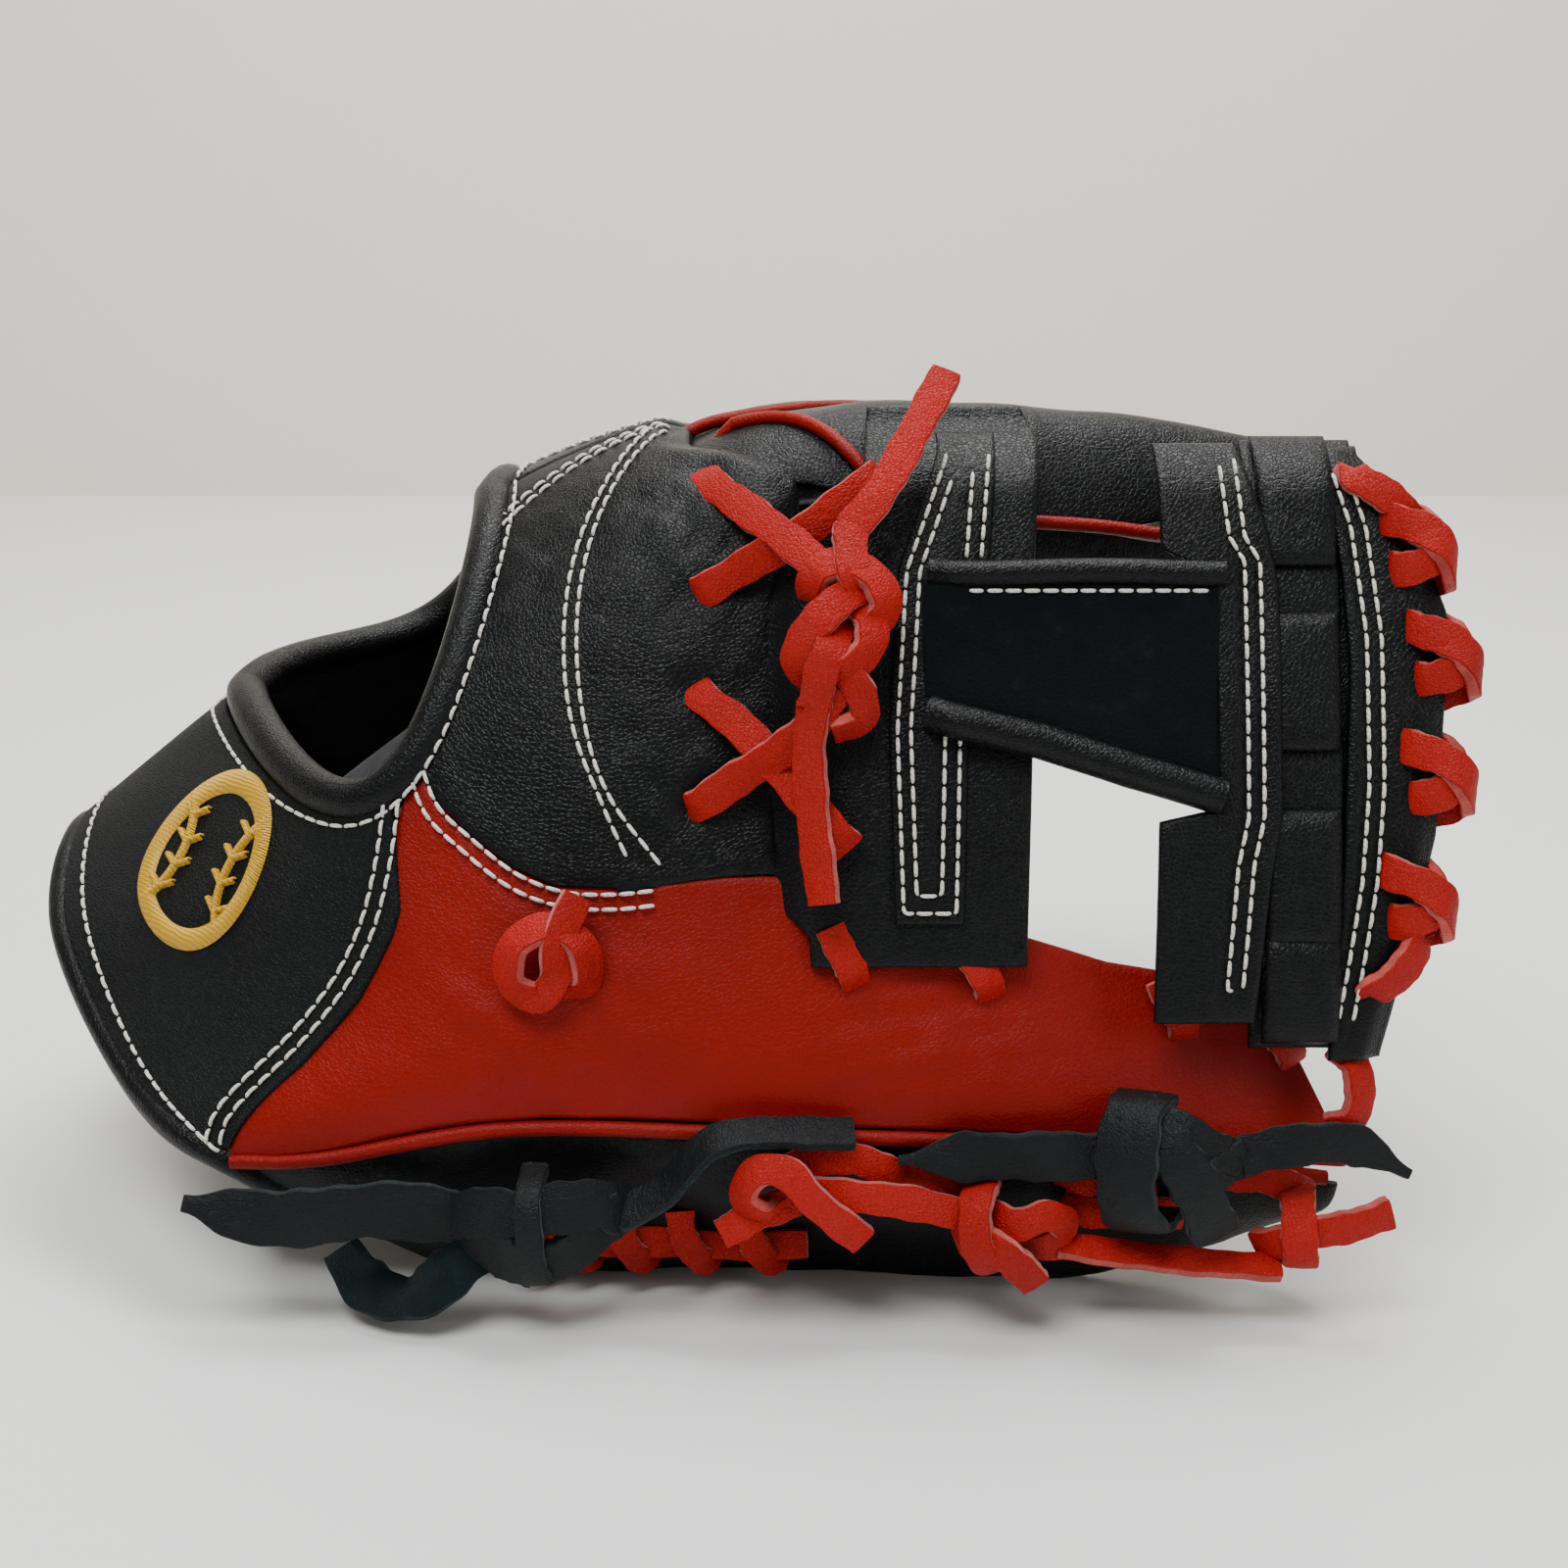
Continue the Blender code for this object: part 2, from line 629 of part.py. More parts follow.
def build_edge_lace():
    """One lace that goes to and fro over the top band's outer edge."""
    out = LEATHER + 3.2 + LACE_THICK / 2
    turns = 10
    points = []
    faces = []
    for i in range(turns):
        z = 74.0 + 9.0 * i
        edge = line(BAND_RIGHT, z)
        front = i % 2 == 0
        near_side = web(edge - 5.0, z, out)
        far_side = web(edge - 5.0, z, -3.4 - LACE_THICK / 2)
        over_z = z + 4.5
        rim = web(line(BAND_RIGHT, over_z) + 7.0, over_z, LEATHER / 2)
        points.append(near_side if front else far_side)
        faces.append(-90.0 if front else 90.0)
        points.append(rim)
        faces.append(0.0)
    points = points[:-1]
    faces = faces[:-1]

    def facing(t):
        at = t * (len(faces) - 1)
        i = min(int(at), len(faces) - 2)
        angle = math.radians(faces[i] + (faces[i + 1] - faces[i]) * (at - i))
        return Vector((math.cos(angle), math.sin(angle), 0.0))

    sweep("web_edge_lace", LACE_RED, through(points, 4 * (len(points) - 1)),
          flat_section(4.6, LACE_THICK), facing)


# ---------------------------------------------------------------- laces and knots
def build_crotch_lacing():
    """Two laces cross between the back leather and the web, and the knot that ties them."""
    outer = [(-15, 163, 9.2), (-4, 158, 9.4), (-3, 147, 9.4), (-3, 130, 9.4), (-4, 117, 9.4),
             (-17, 104, 9.2)]
    inner = [(20, 166, 2.8), (0, 155, 2.8), (-15, 146, 2.8), (-18, 136, 2.8), (-15, 126, 2.8),
             (-2, 114, 2.8), (13, 97, 2.8)]
    for name, stations in (("crotch_lace_outer", outer), ("crotch_lace_inner", inner)):
        route = []
        for x, z, lift in stations:
            share = smooth((x + 12.0) / 22.0)
            wall = near(min(x, -4.0), z, lift)
            front = web(x, z, lift + LEATHER)
            route.append(Vector((x, wall.y + (front.y - wall.y) * share, z)))
        lace(name, LACE_RED, route, 5.0, LACE_THICK, Vector((0, -1, 0)), 24)
    knot("crotch_knot", LACE_RED, web(10, 143.5, 10.5), (20, 10, 25), 15)
    cord("crotch_tail_up", LACE_RED,
         [web(13, 159.5, 12), web(19, 166, 12), web(26, 177, 10), web(33, 188, 7)])
    cord("crotch_tail_down", LACE_RED,
         [web(6, 127.5, 10.5), web(5, 118, 9.5), web(6, 104, 8.5), web(8, 89, 8.5)])
    knot("thumb_base_knot", LACE_RED, near(-47, 74, 6.0), (16, 9, 20))


def build_thumb_lacing():
    knot("thumb_bow", LACE_BLACK, (80, -19.5, 36), (19, 11, 26), -15)
    knot("thumb_tip_knot", LACE_RED, (106, -17, 21), (14, 9, 11))
    knot("welt_knot_1", LACE_RED, (-4, -20, 33), (15, 9, 14))
    knot("welt_knot_2", LACE_RED, (45, -19.5, 21), (17, 9, 18))
    knot("wrist_thong_knot", LACE_BLACK, (-50, -19.5, 24), (30, 10, 22))
    cord("thumb_bow_tail_right", LACE_BLACK,
         [(91.5, -18.5, 38), (101, -18, 40), (114, -17, 40), (126, -16, 33)])
    cord("thumb_bow_tail_left", LACE_BLACK,
         [(68.5, -18.5, 38), (56, -18.5, 38), (40, -18.5, 38), (23, -18, 37)])
    cord("welt_tail", LACE_RED,
         [(55.5, -18.5, 18.5), (68, -18.5, 16.5), (85, -18.5, 14.5), (101, -18, 13)])
    cord("wrist_thong_tail_left", LACE_BLACK,
         [(-66.5, -19, 25), (-82, -20, 27), (-102, -20, 25), (-121, -19, 28)])
    cord("wrist_thong_tail_right", LACE_BLACK,
         [(-33.5, -19, 25), (-24, -19.5, 31), (-12, -20.5, 43), (14, -18.5, 43)])
    heel = [near(-56 + 58 * i / 12, 13, 3.6) for i in range(13)]
    tube("heel_lace", LACE_RED, heel, HEEL_LACE)


def build_wrist_thong():
    route = [(-70, -16, 20), (-76, -17, 9), (-84, -16, 5), (-96, -13.5, 13)]
    lace("wrist_thong", LACE_BLACK, route, WIDE_LACE, 2.2, Vector((0.3, -1, 0)))


# ---------------------------------------------------------------- build
def build():
    clear_scene()
    fixed = build_hand_shell() + build_palm()
    build_bindings()
    build_emblem()
    for seam, name in enumerate(FINGERS):
        build_finger(name, 3.0 + seam)
    thumb = build_thumb()
    build_thumb_lacing()
    build_web_left()
    build_crossbar()
    build_web_right()
    build_top_band()
    build_crotch_lacing()
    build_wrist_thong()
    thumb_side = Vector((1.0, 0.0, -1.0))
    inward = Vector((0.0, 1.0, 0.0))
    keep_fixed = fold_cutter("cut_for_thumb", FOLD_LOW, FOLD_HIGH, FOLD_OPENING, inward, thumb_side, False)
    keep_thumb = fold_cutter("cut_for_hand", FOLD_LOW, FOLD_HIGH, FOLD_OPENING, inward, thumb_side, True)
    for piece in fixed:
        cut(piece, keep_fixed)
    for piece in thumb:
        cut(piece, keep_thumb)


build()
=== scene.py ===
"""Looks of the baseball glove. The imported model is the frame; every piece here rides on it."""
import math

import bmesh
import bpy
import numpy as np
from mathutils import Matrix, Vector


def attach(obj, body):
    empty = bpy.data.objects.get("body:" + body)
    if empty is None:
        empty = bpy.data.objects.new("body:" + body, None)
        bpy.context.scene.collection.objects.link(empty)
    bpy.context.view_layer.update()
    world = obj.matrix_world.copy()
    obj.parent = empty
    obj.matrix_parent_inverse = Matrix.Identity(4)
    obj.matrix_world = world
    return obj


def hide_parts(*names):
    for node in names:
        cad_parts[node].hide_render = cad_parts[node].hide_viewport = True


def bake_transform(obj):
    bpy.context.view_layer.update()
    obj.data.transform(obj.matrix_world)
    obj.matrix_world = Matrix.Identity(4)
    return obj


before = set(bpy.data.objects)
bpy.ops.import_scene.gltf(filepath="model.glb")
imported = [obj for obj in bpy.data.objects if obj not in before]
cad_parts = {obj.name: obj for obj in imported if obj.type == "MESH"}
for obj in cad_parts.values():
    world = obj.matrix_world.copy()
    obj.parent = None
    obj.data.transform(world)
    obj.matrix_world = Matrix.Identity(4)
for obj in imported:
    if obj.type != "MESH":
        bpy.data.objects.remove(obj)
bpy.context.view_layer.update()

# ---- sizes (mm, as in the part)
LEATHER = 2.0
BINDING = 6.4            # the wrist's rolled edge
OPENING_ROLL = 9.4       # the hand opening's
PIPING = 3.2             # the thumb's welt
FINGER_PIPING = 3.0
ROLL = 0.9               # how far a leather's cut edge rolls under
ROLL_WIDTH = 2.0
ROUNDED = [0.12, 0.45, 1.0, 1.8]     # where a rolled edge is cut finely, from its end
GROOVE = 0.5             # depth and width of the groove that stitching pulls
GROOVE_WIDTH = 1.5
HOLE_DENT = 1.9          # how a lace pulls the leather in at its hole
HOLE_REACH = 3.4
TIP_LENGTH = 14.0        # how long a lace's tapered tip is
LACE_CUTS = 20           # fine steps from one stop of a lace to the next
THREAD = 0.82            # diameter of the stitching thread
STITCH = 3.1             # length of one stitch
STITCH_PITCH = 3.75
STITCH_AT = np.array([0.0, 0.05, 0.18, 0.38, 0.62, 0.82, 0.95, 1.0])              # places along a stitch
STITCH_BOW = np.array([-0.75, -0.42, -0.05, 0.12, 0.12, -0.05, -0.42, -0.75])     # how it dives at its ends
STITCH_THIN = np.array([0.35, 0.75, 0.98, 1.0, 1.0, 0.98, 0.75, 0.35])            # and how thin it is there
STITCH_LIFT = 0.12
SHARP_EDGE = math.radians(62)       # leathers and laces keep a fold sharper than this
LACE_EDGE = math.radians(34)
MOVE = np.array((14.6, -75.6, 0.0))      # the part's own origin, seen from the shared one
MM = 0.001
FIND_ROUNDS = 24         # steps that a search for a place on the skin takes
WEB_FOOT = 60.0          # z of the web's foot and how tall it is
WEB_TALL = 110.0
WEB_FRONT = -9.0         # y of its foot, how far it leans back from there and how much it hollows
WEB_LEAN = 38.0
WEB_HOLLOW = 20.0
WEB_ROLL = 6.5           # how far its top rolls back, from which z and over what length
WEB_ROLL_AT = 164.0
WEB_ROLL_REACH = 10.0

# The outer skin's stations from wrist to fingertips, thumb edge first.
SKIN = np.array([
    [(-80, 7, 3), (-114, -8, 32), (-138, 13, 43), (-159, 45, 66),
     (-163, 80, 80), (-159, 115, 66), (-138, 147, 43), (-86, 158, 3)],
    [(-68, 8, -1.4), (-94, -11, 34), (-100, 3, 62), (-98, 24, 100),
     (-103, 74, 127), (-100, 118, 112), (-92, 150, 70), (-70, 164, -1.4)],
    [(-40, 6, -1.4), (-55, -12, 41), (-54, -2, 80), (-58, 28, 135),
     (-58, 68, 160), (-56, 110, 150), (-48, 150, 105), (-30, 172, 6)],
    [(0, 6, -1.4), (0, -13, 40), (0, 2, 88), (0, 36, 166),
     (0, 76, 176), (0, 116, 160), (0, 148, 126), (2, 176, 72)],
    [(60, 3, -1.4), (60, -12, 37), (60, 2, 74), (62, 44, 172),
     (66, 82, 172), (66, 118, 155), (62, 150, 126), (52, 178, 90)],
    [(112, 4, 12), (120, -6, 26), (118, 2, 50), (134, 44, 162),
     (132, 82, 160), (122, 116, 143), (104, 148, 119), (80, 172, 93)],
], float)


# ---- the skin, on arrays
def grown(rows):
    """Rows with one more at each end, carried on straight."""
    return np.concatenate([2 * rows[:1] - rows[1:2], rows, 2 * rows[-1:] - rows[-2:-1]])


NET = grown(np.swapaxes(grown(np.swapaxes(SKIN, 0, 1)), 0, 1))


def weights(t):
    """How much each of four stations counts, at a share t between the middle two."""
    return 0.5 * np.stack([-t + 2 * t ** 2 - t ** 3, 2 - 5 * t ** 2 + 3 * t ** 3,
                           t + 4 * t ** 2 - 3 * t ** 3, -t ** 2 + t ** 3], -1)


def skin(u, v):
    """The smooth surface through the stations: u along the hand, v around it."""
    u = np.asarray(u, float)
    v = np.asarray(v, float)
    i = np.clip(np.floor(u).astype(int), 0, 4)
    j = np.clip(np.floor(v).astype(int), 0, 6)
    a = weights(u - i)
    b = weights(v - j)
    point = np.zeros(np.broadcast(u, v).shape + (3,))
    for m in range(4):
        for n in range(4):
            point += (a[..., m] * b[..., n])[..., None] * NET[i + m, j + n]
    return point


def skin_normal(u, v):
    """The way the skin faces."""
    step = 0.02
    along = skin(u + step, v) - skin(u - step, v)
    across = skin(u, v + step) - skin(u, v - step)
    out = np.cross(along, across)
    return out / np.linalg.norm(out, axis=-1, keepdims=True)


def on_skin(u, v, w):
    """A point of the skin raised by w."""
    u, v, w = np.broadcast_arrays(np.asarray(u, float), np.asarray(v, float), np.asarray(w, float))
    return skin(u, v) + skin_normal(u, v) * w[..., None]


def on_web(x, z, w):
    """A point of the web's face, w in front of it: it leans back and hollows a little."""
    x, z, w = np.broadcast_arrays(np.asarray(x, float), np.asarray(z, float), np.asarray(w, float))
    t = (z - WEB_FOOT) / WEB_TALL
    y = WEB_FRONT + WEB_LEAN * t - WEB_HOLLOW * t * (1.0 - t) - w
    return np.stack([x, y, z], -1)


def find_uv(x, z):
    """u and v of the thumb-side wall's points at x and z."""
    x = np.asarray(x, float)
    z = np.asarray(z, float)
    # A first guess from the wall's mean spacing, then steps toward the place.
    u = np.clip(2.4 + x / 55.0, 0, 5)
    v = np.clip(1.0 + (z - 38.0) / 48.0, 0, 3)
    step = 0.01
    share = 0.6     # how much of the way each round takes
    for _ in range(FIND_ROUNDS):
        here = skin(u, v)
        along = (skin(u + step, v) - here) / step
        across = (skin(u, v + step) - here) / step
        det = along[..., 0] * across[..., 2] - along[..., 2] * across[..., 0]
        dx = x - here[..., 0]
        dz = z - here[..., 2]
        u = np.clip(u + share * (dx * across[..., 2] - dz * across[..., 0]) / det, -0.2, 5.2)
        v = np.clip(v + share * (dz * along[..., 0] - dx * along[..., 2]) / det, 0.0, 3.3)
    return u, v


def near(x, z, w):
    """The point of the thumb-side wall that stands at x and z, w outside its skin."""
    return on_skin(*find_uv(x, z), w)


def smooth(t):
    """From 0 to 1 with level ends."""
    t = np.clip(t, 0.0, 1.0)
    return t * t * (3.0 - 2.0 * t)


def rounding(t, start, reach):
    """0 up to start, then a quarter of an ellipse that reaches 1 after reach."""
    return 1 - np.sqrt(np.clip(1 - (np.clip(t - start, 0, None) / reach) ** 2, 0, 1))


def line(pairs, t):
    """Straight reading of (t, value) pairs."""
    at = np.array(pairs, float)
    return np.interp(t, at[:, 0], at[:, 1])


def curve_through(points, count):
    """count + 1 points on the smooth curve through the points."""
    points = np.asarray(points, float)
    rows = grown(points)
    t = np.linspace(0, len(points) - 1, count + 1)
    i = np.clip(np.floor(t).astype(int), 0, len(points) - 2)
    a = weights(t - i)
    return sum(a[:, m, None] * rows[i + m] for m in range(4))


def even(points, step):
    """The line through the points, cut into even steps of about that length."""
    points = np.asarray(points, float)
    gaps = np.linalg.norm(np.diff(points, axis=0), axis=1)
    run = np.concatenate([[0], np.cumsum(gaps)])
    count = max(int(round(run[-1] / step)), 1)
    at = np.linspace(0, run[-1], count + 1)
    return np.stack([np.interp(at, run, points[:, k]) for k in range(points.shape[1])], -1)


def noise(points, scale, seed=0):
    """Smooth wandering between -1 and 1, the same on every run, from a few sine waves."""
    rng = np.random.default_rng(seed)
    total = np.zeros(points.shape[:-1])
    for _ in range(7):
        way = rng.normal(size=3)
        way /= np.linalg.norm(way)
        total += np.sin(points @ way * math.tau / scale * rng.uniform(0.6, 1.6) + rng.uniform(0, 6.28))
    return total / 4.2


# ---- materials
def new_material(name):
    """A material, its tree, its shader and the object's own coordinates."""
    made = bpy.data.materials.new(name)
    made.use_nodes = True
    tree = made.node_tree
    shader = tree.nodes["Principled BSDF"]
    place = tree.nodes.new("ShaderNodeTexCoord").outputs["Object"]
    return made, tree, shader, place


def fill(tree, node, inputs):
    """Each input takes a value, or is joined to another node's output."""
    for key, value in inputs.items():
        if hasattr(value, "is_output"):
            tree.links.new(value, node.inputs[key])
        else:
            node.inputs[key].default_value = value


def add(tree, kind, inputs, **settings):
    node = tree.nodes.new(kind)
    for key, value in settings.items():
        setattr(node, key, value)
    fill(tree, node, inputs)
    return node


def cloud(tree, place, scale, detail, rough=0.5, warp=0.0):
    """Cloudy noise, as one output."""
    return add(tree, "ShaderNodeTexNoise", {"Vector": place, "Scale": scale, "Detail": detail,
                                            "Roughness": rough, "Distortion": warp}).outputs["Fac"]


def bump(tree, height, strength, distance, under=None):
    """Relief from a height, laid over the relief under it."""
    node = add(tree, "ShaderNodeBump", {"Height": height, "Strength": strength, "Distance": distance})
    if under:
        tree.links.new(under, node.inputs["Normal"])
    return node.outputs["Normal"]


def ramp(tree, source, colour, stops):
    """Shades of one colour: each stop is a place on the ramp and a factor."""
    node = tree.nodes.new("ShaderNodeValToRGB")
    tree.links.new(source, node.inputs[0])
    bar = node.color_ramp
    while len(bar.elements) < len(stops):
        bar.elements.new(0.5)
    for element, (at, factor) in zip(bar.elements, stops):
        element.position = at
        element.color = (*(min(c * factor, 1.0) for c in colour), 1.0)
    return node.outputs["Color"]


def leather(name, colour, rough, grain, grain_depth, crease, crease_depth, mottle):
    """Smooth hide: pebbled grain, pores, faint creases and a slight change of shade."""
    made, tree, shader, place = new_material(name)
    cells = add(tree, "ShaderNodeTexVoronoi", {"Vector": place, "Scale": 1000.0 / grain},
                feature="DISTANCE_TO_EDGE")
    pebbles = add(tree, "ShaderNodeMapRange", {"Value": cells.outputs["Distance"], "From Max": 0.22})
    pores = cloud(tree, place, 2300.0 / grain, 3.0)
    creases = cloud(tree, place, 1000.0 / crease, 5.0, 0.6, 0.8)
    tone = cloud(tree, place, 28.0, 4.0)
    gloss = add(tree, "ShaderNodeMapRange", {"Value": creases, "To Min": rough[0], "To Max": rough[1]})
    low = bump(tree, creases, crease_depth, 0.0012)
    middle = bump(tree, pebbles.outputs["Result"], grain_depth * 3, 0.00025, low)
    fill(tree, shader, {
        "Base Color": ramp(tree, tone, colour, [(0.32, 1.0 - mottle), (0.52, 1.0), (0.72, 1.0 + mottle)]),
        "Roughness": gloss.outputs["Result"],
        "Normal": bump(tree, pores, grain_depth, 0.00015, middle),
        "Specular IOR Level": 0.16})
    return made


def napped(name, colour, lift, sheen):
    """Suede, fleece or a cut edge: matt, fibrous, with a soft sheen."""
    made, tree, shader, place = new_material(name)
    fibres = cloud(tree, place, 1500.0, 4.0)
    patches = cloud(tree, place, 170.0, 5.0, 0.7)
    fill(tree, shader, {
        "Base Color": ramp(tree, patches, colour, [(0.3, 0.6), (0.55, 1.0), (0.8, lift)]),
        "Normal": bump(tree, fibres, 0.8, 0.0005),
        "Roughness": 0.95,
        "Sheen Weight": sheen,
        "Sheen Roughness": 0.5,
        "Specular IOR Level": 0.12})
    return made


def thread(name, colour, rough):
    """Twisted sewing thread, with painted shade darkening the grooves of its twist."""
    made, tree, shader, place = new_material(name)
    twist = add(tree, "ShaderNodeTexWave", {"Vector": place, "Scale": 420.0, "Distortion": 3.0},
                bands_direction="DIAGONAL").outputs["Fac"]
    fill(tree, shader, {
        # painted shade: the ramp darkens the thread where the twist is low, in the grooves of the bump below
        "Base Color": ramp(tree, twist, colour, [(0.0, 0.72), (0.6, 1.0)]),
        "Normal": bump(tree, twist, 0.4, 0.0003),
        "Roughness": rough})
    return made


# Leather: colour, roughness from and to, grain in mm and its depth, creases in mm and their depth, mottle.
# Napped: colour, how light its raised fibres are, sheen. Each look also names the slot of its finish.
BLACK = (0.0030, 0.0034, 0.0040)
RED = (0.200, 0.0026, 0.0014)
RED_LACE = (0.33, 0.0065, 0.0050)
BLACK_LACE = (0.0046, 0.0060, 0.0070)
STRAP = (0.0036, 0.0046, 0.0052)
LOOKS = {
    "black": (leather("black_leather", BLACK, (0.30, 0.42), 0.95, 0.12, 12.0, 0.30, 0.25), "black_leather"),
    "strap": (leather("wrist_leather", STRAP, (0.55, 0.66), 0.8, 0.3, 5.0, 0.3, 0.3), "suede"),
    "red": (leather("red_leather", RED, (0.40, 0.52), 1.0, 0.10, 10.0, 0.30, 0.10), "red_leather"),
    "red_lace": (leather("red_lace_leather", RED_LACE, (0.42, 0.58), 0.8, 0.2, 4.0, 0.5, 0.15), "red_lace"),
    "red_edge": (napped("red_lace_edge", (0.42, 0.06, 0.05), 1.6, 0.2), "red_lace"),
    "black_lace": (leather("black_lace_leather", BLACK_LACE, (0.38, 0.55), 0.8, 0.12, 4.0, 0.5, 0.2),
                   "black_lace"),
    "black_edge": (napped("black_lace_edge", (0.003, 0.0095, 0.0115), 2.4, 0.1), "black_lace"),
    "suede": (napped("black_suede", (0.0016, 0.0026, 0.0034), 3.0, 0.02), "suede"),
    "fleece": (napped("dark_fleece", (0.018, 0.018, 0.020), 1.8, 0.1), "fleece"),
    "felt": (napped("palm_felt", (0.42, 0.39, 0.33), 1.2, 0.1), "felt"),
    "stitch": (thread("white_thread", (0.72, 0.69, 0.63), 0.6), "thread"),
    "gold": (thread("gold_thread", (0.56, 0.315, 0.001), 0.4), "thread"),
}


# ---- meshes
def object_from(name, points, faces, look, body, nodes="", edge=None, edge_faces=(), turn=False):
    """One piece in its look: it rides on a body and stands for the named nodes."""
    mesh = bpy.data.meshes.new(name)
    mesh.from_pydata(((np.asarray(points).reshape(-1, 3) + MOVE) * MM).tolist(), [], faces)
    mesh.materials.append(LOOKS[look][0])
    if edge:
        mesh.materials.append(LOOKS[edge][0])
        for k in edge_faces:
            mesh.polygons[k].material_index = 1
    if turn:
        work = bmesh.new()
        work.from_mesh(mesh)
        bmesh.ops.recalc_face_normals(work, faces=work.faces)
        work.to_mesh(mesh)
        work.free()
    mesh.shade_smooth()
    mesh.set_sharp_from_angle(angle=SHARP_EDGE)
    made = bpy.data.objects.new(name, mesh)
    bpy.context.scene.collection.objects.link(made)
    if body:
        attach(made, body)
    if nodes:
        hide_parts(*nodes.split())
    return made


def grid_faces(rows, columns):
    """Faces of a closed slab: an outer grid, an inner one and the rim between them."""
    wide = columns + 1
    half = (rows + 1) * wide
    i, j = np.meshgrid(np.arange(rows), np.arange(columns), indexing="ij")
    a = (i * wide + j).ravel()
    outer = np.stack([a, a + wide, a + wide + 1, a + 1], -1)
    inner = outer[:, ::-1] + half
    ring = list(range(wide)) + [k * wide + columns for k in range(1, rows + 1)]
    ring += [rows * wide + k for k in range(columns - 1, -1, -1)] + [k * wide for k in range(rows - 1, 0, -1)]
    rim = [(p, q, half + q, half + p) for p, q in zip(ring, ring[1:] + ring[:1])]
    return outer.tolist() + inner.tolist() + rim


def hoop_faces(total, count, closed=False):
    """Faces between hoops of count points, with a cap at each end unless they close on themselves."""
    faces = []
    for i in range(total if closed else total - 1):
        n = (i + 1) % total
        for j in range(count):
            k = (j + 1) % count
            faces.append((i * count + j, i * count + k, n * count + k, n * count + j))
    if not closed:
        faces.append(tuple(range(count))[::-1])
        faces.append(tuple((total - 1) * count + j for j in range(count)))
    return faces


def dips(points, lines):
    """How deep stitching pulls the leather in at each point."""
    if not lines:
        return 0.0
    flat = points.reshape(-1, 3)
    best = np.full(len(flat), 1e9)
    for one in lines:
        dense = even(one, 1.5)
        low = dense.min(0) - 4 * GROOVE_WIDTH
        high = dense.max(0) + 4 * GROOVE_WIDTH
        close = np.where(np.all((flat > low) & (flat < high), axis=1))[0]
        if len(close):
            gap = np.linalg.norm(flat[close, None, :] - dense[None, :, :], axis=2).min(1)
            best[close] = np.minimum(best[close], gap)
    return (GROOVE * np.exp(-(best / GROOVE_WIDTH) ** 2)).reshape(points.shape[:-1])


def spaced(length, step, ends):
    """Shares of a length: even steps, with finer ones at the rounded ends."""
    count = max(int(round(length / step)), 2)
    at = list(np.linspace(0, length, count + 1))
    if ends[0]:
        at += ROUNDED
    if ends[1]:
        at += [length - d for d in ROUNDED]
    at = np.array(sorted(at)) / length
    at = at[np.concatenate([[True], np.diff(at) > 0.04 / length])]
    at[-1] = 1.0
    return at


def near_to(points, spot, reach):
    """1 at the spot, falling off smoothly with the distance."""
    return np.exp(-(np.linalg.norm(points - np.array(spot), axis=-1) / reach) ** 2)


def panel(name, look, body, nodes, area, where=on_skin, step=2.0, thick=LEATHER, seams=(), wrinkles=(),
          holes=(), sides=(1, 1, 1, 1), uneven=0.22, seed=1):
    """A piece of leather. area(s, t) gives its two surface coordinates and its height.

    wrinkles are (middle, reach, size, length, seed) rows; holes are places where a lace goes through.
    """
    s, t = np.meshgrid(np.linspace(0, 1, 13), np.linspace(0, 1, 13), indexing="ij")
    a, b, w = area(s, t)
    flat = where(a, b, w)
    length = np.linalg.norm(np.diff(flat, axis=0), axis=-1).sum(0).max()
    width = np.linalg.norm(np.diff(flat, axis=1), axis=-1).sum(1).max()
    s, t = np.meshgrid(spaced(length, step, sides[:2]), spaced(width, step, sides[2:]), indexing="ij")
    a, b, w = area(s, t)
    flat = where(a, b, w)
    rolls = np.zeros_like(a)
    for distance, on in zip([s * length, (1 - s) * length, t * width, (1 - t) * width], sides):
        if on:
            rolls = np.maximum(rolls, rounding(1 - distance / ROLL_WIDTH, 0, 1))
    lift = uneven * noise(flat, 34.0, seed) - dips(flat, seams)
    for spot, reach, size, scale, number in wrinkles:
        lift = lift + size * near_to(flat, spot, reach) * noise(flat, scale, number)
    for spot in holes:
        lift = lift - HOLE_DENT * near_to(flat, spot, HOLE_REACH)
    outer = where(a, b, w + lift - ROLL * rolls)
    inner = where(a, b, w + lift - thick + 0.3 * ROLL * rolls)
    points = np.concatenate([outer.reshape(-1, 3), inner.reshape(-1, 3)])
    faces = grid_faces(a.shape[0] - 1, a.shape[1] - 1)
    return object_from(name, points, faces, look, body, nodes, turn=True)


def frames_along(path, face):
    """Facing and side at each point of a path."""
    ahead = np.gradient(path, axis=0)
    ahead /= np.linalg.norm(ahead, axis=1, keepdims=True)
    face = np.broadcast_to(np.asarray(face, float), path.shape)
    face = face - ahead * (face * ahead).sum(1, keepdims=True)
    face = face / np.linalg.norm(face, axis=1, keepdims=True)
    return face, np.cross(ahead, face)


def swept(path, face, section, closed=False):
    """Points and faces of a section carried along a path, and no cut edges."""
    if closed:
        long = np.concatenate([path[-1:], path, path[:1]])
        up, side = frames_along(long, np.concatenate([face[-1:], face, face[:1]]))
        up = up[1:-1]
        side = side[1:-1]
    else:
        up, side = frames_along(path, face)
    section = np.broadcast_to(section, (len(path),) + section.shape[-2:])
    points = path[:, None, :] + side[:, None, :] * section[..., :1] + up[:, None, :] * section[..., 1:]
    return points.reshape(-1, 3), hoop_faces(len(path), section.shape[1], closed), []


